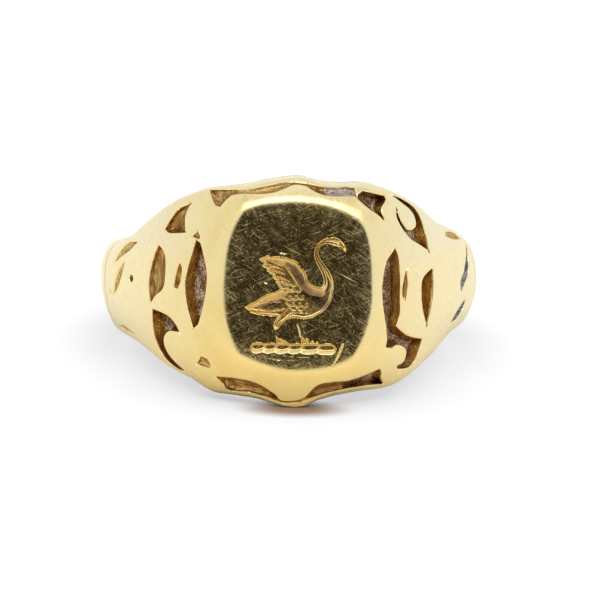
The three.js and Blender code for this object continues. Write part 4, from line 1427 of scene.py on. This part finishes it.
# %% The floor
whole_low = cad_box[0]
SHANK_FOOT = 1.85
HEAD_FOOT = 6.4
FEET_APART = 20.0
LEAN = math.atan2(HEAD_FOOT - SHANK_FOOT, FEET_APART)
rest_point = Vector((0, -0.0101, whole_low.z - 0.00002))
HALF_FLOOR = 0.6
LIT_SHARE = 0.45
PATCH = (0.0004, 0.0018)
PATCH_TONE = (0.46, 0.3, 0.18, 1)
TINT = (0.004, 0.02)
TINT_NEAR = (0.96, 0.86, 0.64, 1)
TINT_FAR = (0.78, 0.74, 0.62, 1)
floor_mesh = bpy.data.meshes.new("table_top")
along_floor = Vector((0, math.cos(LEAN), math.sin(LEAN)))
spots = [rest_point + Vector((1, 0, 0)) * a * HALF_FLOOR + along_floor * b * HALF_FLOOR
         for a, b in ((-1, -1), (1, -1), (1, 1), (-1, 1))]
floor_mesh.from_pydata([tuple(v) for v in spots], [], [(0, 1, 2, 3)])
floor_object = bpy.data.objects.new("table_top", floor_mesh)
bpy.context.collection.objects.link(floor_object)
paper, tree, shader, where = new_material("white_paper")
shader.inputs["Roughness"].default_value = 0.9
shader.inputs["Specular IOR Level"].default_value = 0.1
fibre = noise_node(tree, where, 900.0, 3.0, 0.6)
sheet = mix_colours(tree, fibre, (0.94, 0.94, 0.94, 1), (0.96, 0.96, 0.96, 1))
ray = tree.nodes.new("ShaderNodeLightPath").outputs
from_foot = tree.nodes.new("ShaderNodeVectorMath")
from_foot.operation = "DISTANCE"
from_foot.inputs[1].default_value = tuple(rest_point)
tree.links.new(where, from_foot.inputs[0])
foot = from_foot.outputs["Value"]
squeezed = tree.nodes.new("ShaderNodeVectorMath")
squeezed.operation = "MULTIPLY"
squeezed.inputs[1].default_value = (0.5, 1, 1)
tree.links.new(where, squeezed.inputs[0])
beside = tree.nodes.new("ShaderNodeVectorMath")
beside.operation = "DISTANCE"
beside.inputs[1].default_value = tuple(rest_point)
tree.links.new(squeezed.outputs[0], beside.inputs[0])
near_foot = beside.outputs["Value"]
warm = mix_colours(tree, ramp_between(tree, foot, *TINT), TINT_NEAR, TINT_FAR)
close = ramp_between(tree, near_foot, *PATCH, 1.0, 0.0)
own = mix_colours(tree, close, mix_colours(tree, LIT_SHARE, sheet, (0, 0, 0, 1)), PATCH_TONE)
tree.links.new(mix_colours(tree, ray["Is Glossy Ray"], own, warm), shader.inputs["Base Color"])
shader.inputs["Emission Color"].default_value = (1, 1, 1, 1)
glow = math_node(tree, "MULTIPLY", ray["Is Camera Ray"], LIT_SHARE)
tree.links.new(math_node(tree, "MULTIPLY", glow, ramp_between(tree, near_foot, *PATCH)),
               shader.inputs["Emission Strength"])
clear = tree.nodes.new("ShaderNodeBsdfTransparent")
either = tree.nodes.new("ShaderNodeMixShader")
tree.links.new(tree.nodes.new("ShaderNodeNewGeometry").outputs["Backfacing"], either.inputs[0])
tree.links.new(shader.outputs[0], either.inputs[1])
tree.links.new(clear.outputs[0], either.inputs[2])
tree.links.new(either.outputs[0], tree.nodes["Material Output"].inputs["Surface"])
floor_mesh.materials.append(paper)

# %% The surround
SURROUND = (0.955, 0.96, 0.965, 1)
CARD = (0.03, 0.0225, 0.016, 1)
GAP = (0.35, 0.33, 0.3, 1)
DIFFUSE_LIFT = 0.2
BOX = 2.0
CARD_EDGE = (8.0, 34.0)
CARD_TILT = -2.5
GAP_RISES = (0.8, 0.87)
GAP_ENDS = (0.88, 0.93)
GAP_SHARE = 0.45
BOX_RISES = (0.42, 0.6)
BOX_ENDS = (0.72, 0.84)
BOX_SIDES = (0.3, 0.72)
BOX_FRONT = (-0.35, -0.1)
world = bpy.data.worlds.new("white_tent")
bpy.context.scene.world = world
world.use_nodes = True
tree = world.node_tree
tree.nodes.clear()
direction = tree.nodes.new("ShaderNodeTexCoord").outputs["Generated"]
facing = tree.nodes.new("ShaderNodeVectorMath")
facing.operation = "DOT_PRODUCT"
card_up = math.radians(CARD_TILT)
facing.inputs[1].default_value = (0.06, -math.cos(card_up), math.sin(card_up))
tree.links.new(direction, facing.inputs[0])
near_card = ramp_between(tree, facing.outputs["Value"], math.cos(math.radians(CARD_EDGE[1])),
                         math.cos(math.radians(CARD_EDGE[0])))
parts = tree.nodes.new("ShaderNodeSeparateXYZ")
tree.links.new(direction, parts.inputs[0])
gap = math_node(tree, "MULTIPLY", ramp_between(tree, parts.outputs["Z"], *GAP_RISES),
                ramp_between(tree, parts.outputs["Z"], *GAP_ENDS, 1.0, 0.0))
tent = mix_colours(tree, math_node(tree, "MULTIPLY", gap, GAP_SHARE), SURROUND, GAP)
tent = mix_colours(tree, near_card, tent, CARD)
rising = ramp_between(tree, parts.outputs["Z"], *BOX_RISES)
ending = ramp_between(tree, parts.outputs["Z"], *BOX_ENDS, 1.0, 0.0)
sideways = ramp_between(tree, math_node(tree, "ABSOLUTE", parts.outputs["X"]), *BOX_SIDES, 1.0, 0.0)
in_front = ramp_between(tree, parts.outputs["Y"], *BOX_FRONT, 1.0, 0.0)
box_light = math_node(tree, "MULTIPLY", rising, ending)
for share in (sideways, in_front):
    box_light = math_node(tree, "MULTIPLY", box_light, share)
box_light = math_node(tree, "MULTIPLY", box_light, BOX)
path = tree.nodes.new("ShaderNodeLightPath")
lift = math_node(tree, "ADD", math_node(tree, "MULTIPLY", path.outputs["Is Diffuse Ray"], DIFFUSE_LIFT), 1.0)
lit = tree.nodes.new("ShaderNodeVectorMath")
lit.operation = "ADD"
tree.links.new(tent, lit.inputs[0])
tree.links.new(box_light, lit.inputs[1])
seen = tree.nodes.new("ShaderNodeBackground")
seen.inputs["Color"].default_value = (1, 1, 1, 1)
seen.inputs["Strength"].default_value = 1.0
light = tree.nodes.new("ShaderNodeBackground")
tree.links.new(lit.outputs[0], light.inputs["Color"])
tree.links.new(lift, light.inputs["Strength"])
choice = tree.nodes.new("ShaderNodeMixShader")
tree.links.new(path.outputs["Is Camera Ray"], choice.inputs[0])
tree.links.new(light.outputs[0], choice.inputs[1])
tree.links.new(seen.outputs[0], choice.inputs[2])
tree.links.new(choice.outputs[0], tree.nodes.new("ShaderNodeOutputWorld").inputs["Surface"])
scene = bpy.context.scene
scene.view_settings.view_transform = "Standard"
scene.cycles.use_denoising = True
scene.cycles.max_bounces = 10
scene.cycles.caustics_reflective = False
scene.cycles.glossy_bounces = 8

# %% The camera
AWAY = 0.25
RAISED = math.radians(3.7)
TURNED = math.radians(2.7)
ROLLED = math.radians(1.2)
SEEN_WIDTH = 0.0555 * 600 * MM
SENSOR = 36.0
forward = Vector((math.sin(TURNED) * math.cos(RAISED), math.cos(TURNED) * math.cos(RAISED),
                  -math.sin(RAISED)))
right = Vector((math.cos(TURNED), -math.sin(TURNED), 0))
up = right.cross(forward)
rolled_right = right * math.cos(ROLLED) + up * math.sin(ROLLED)
rolled_up = up * math.cos(ROLLED) - right * math.sin(ROLLED)
camera = bpy.data.objects.new("camera", bpy.data.cameras.new("camera"))
bpy.context.collection.objects.link(camera)
pose = camera.matrix_world.copy()
for row in range(3):
    pose[row][0], pose[row][1], pose[row][2] = rolled_right[row], rolled_up[row], -forward[row]
    pose[row][3] = -forward[row] * AWAY
camera.matrix_world = pose
camera.data.sensor_width = SENSOR
camera.data.lens = SENSOR * AWAY / SEEN_WIDTH
camera.data.shift_x = 0.0192
camera.data.shift_y = -0.0383
camera.data.clip_start = 0.01
camera.data.clip_end = 10
scene.camera = camera
print("lens", round(camera.data.lens, 1))
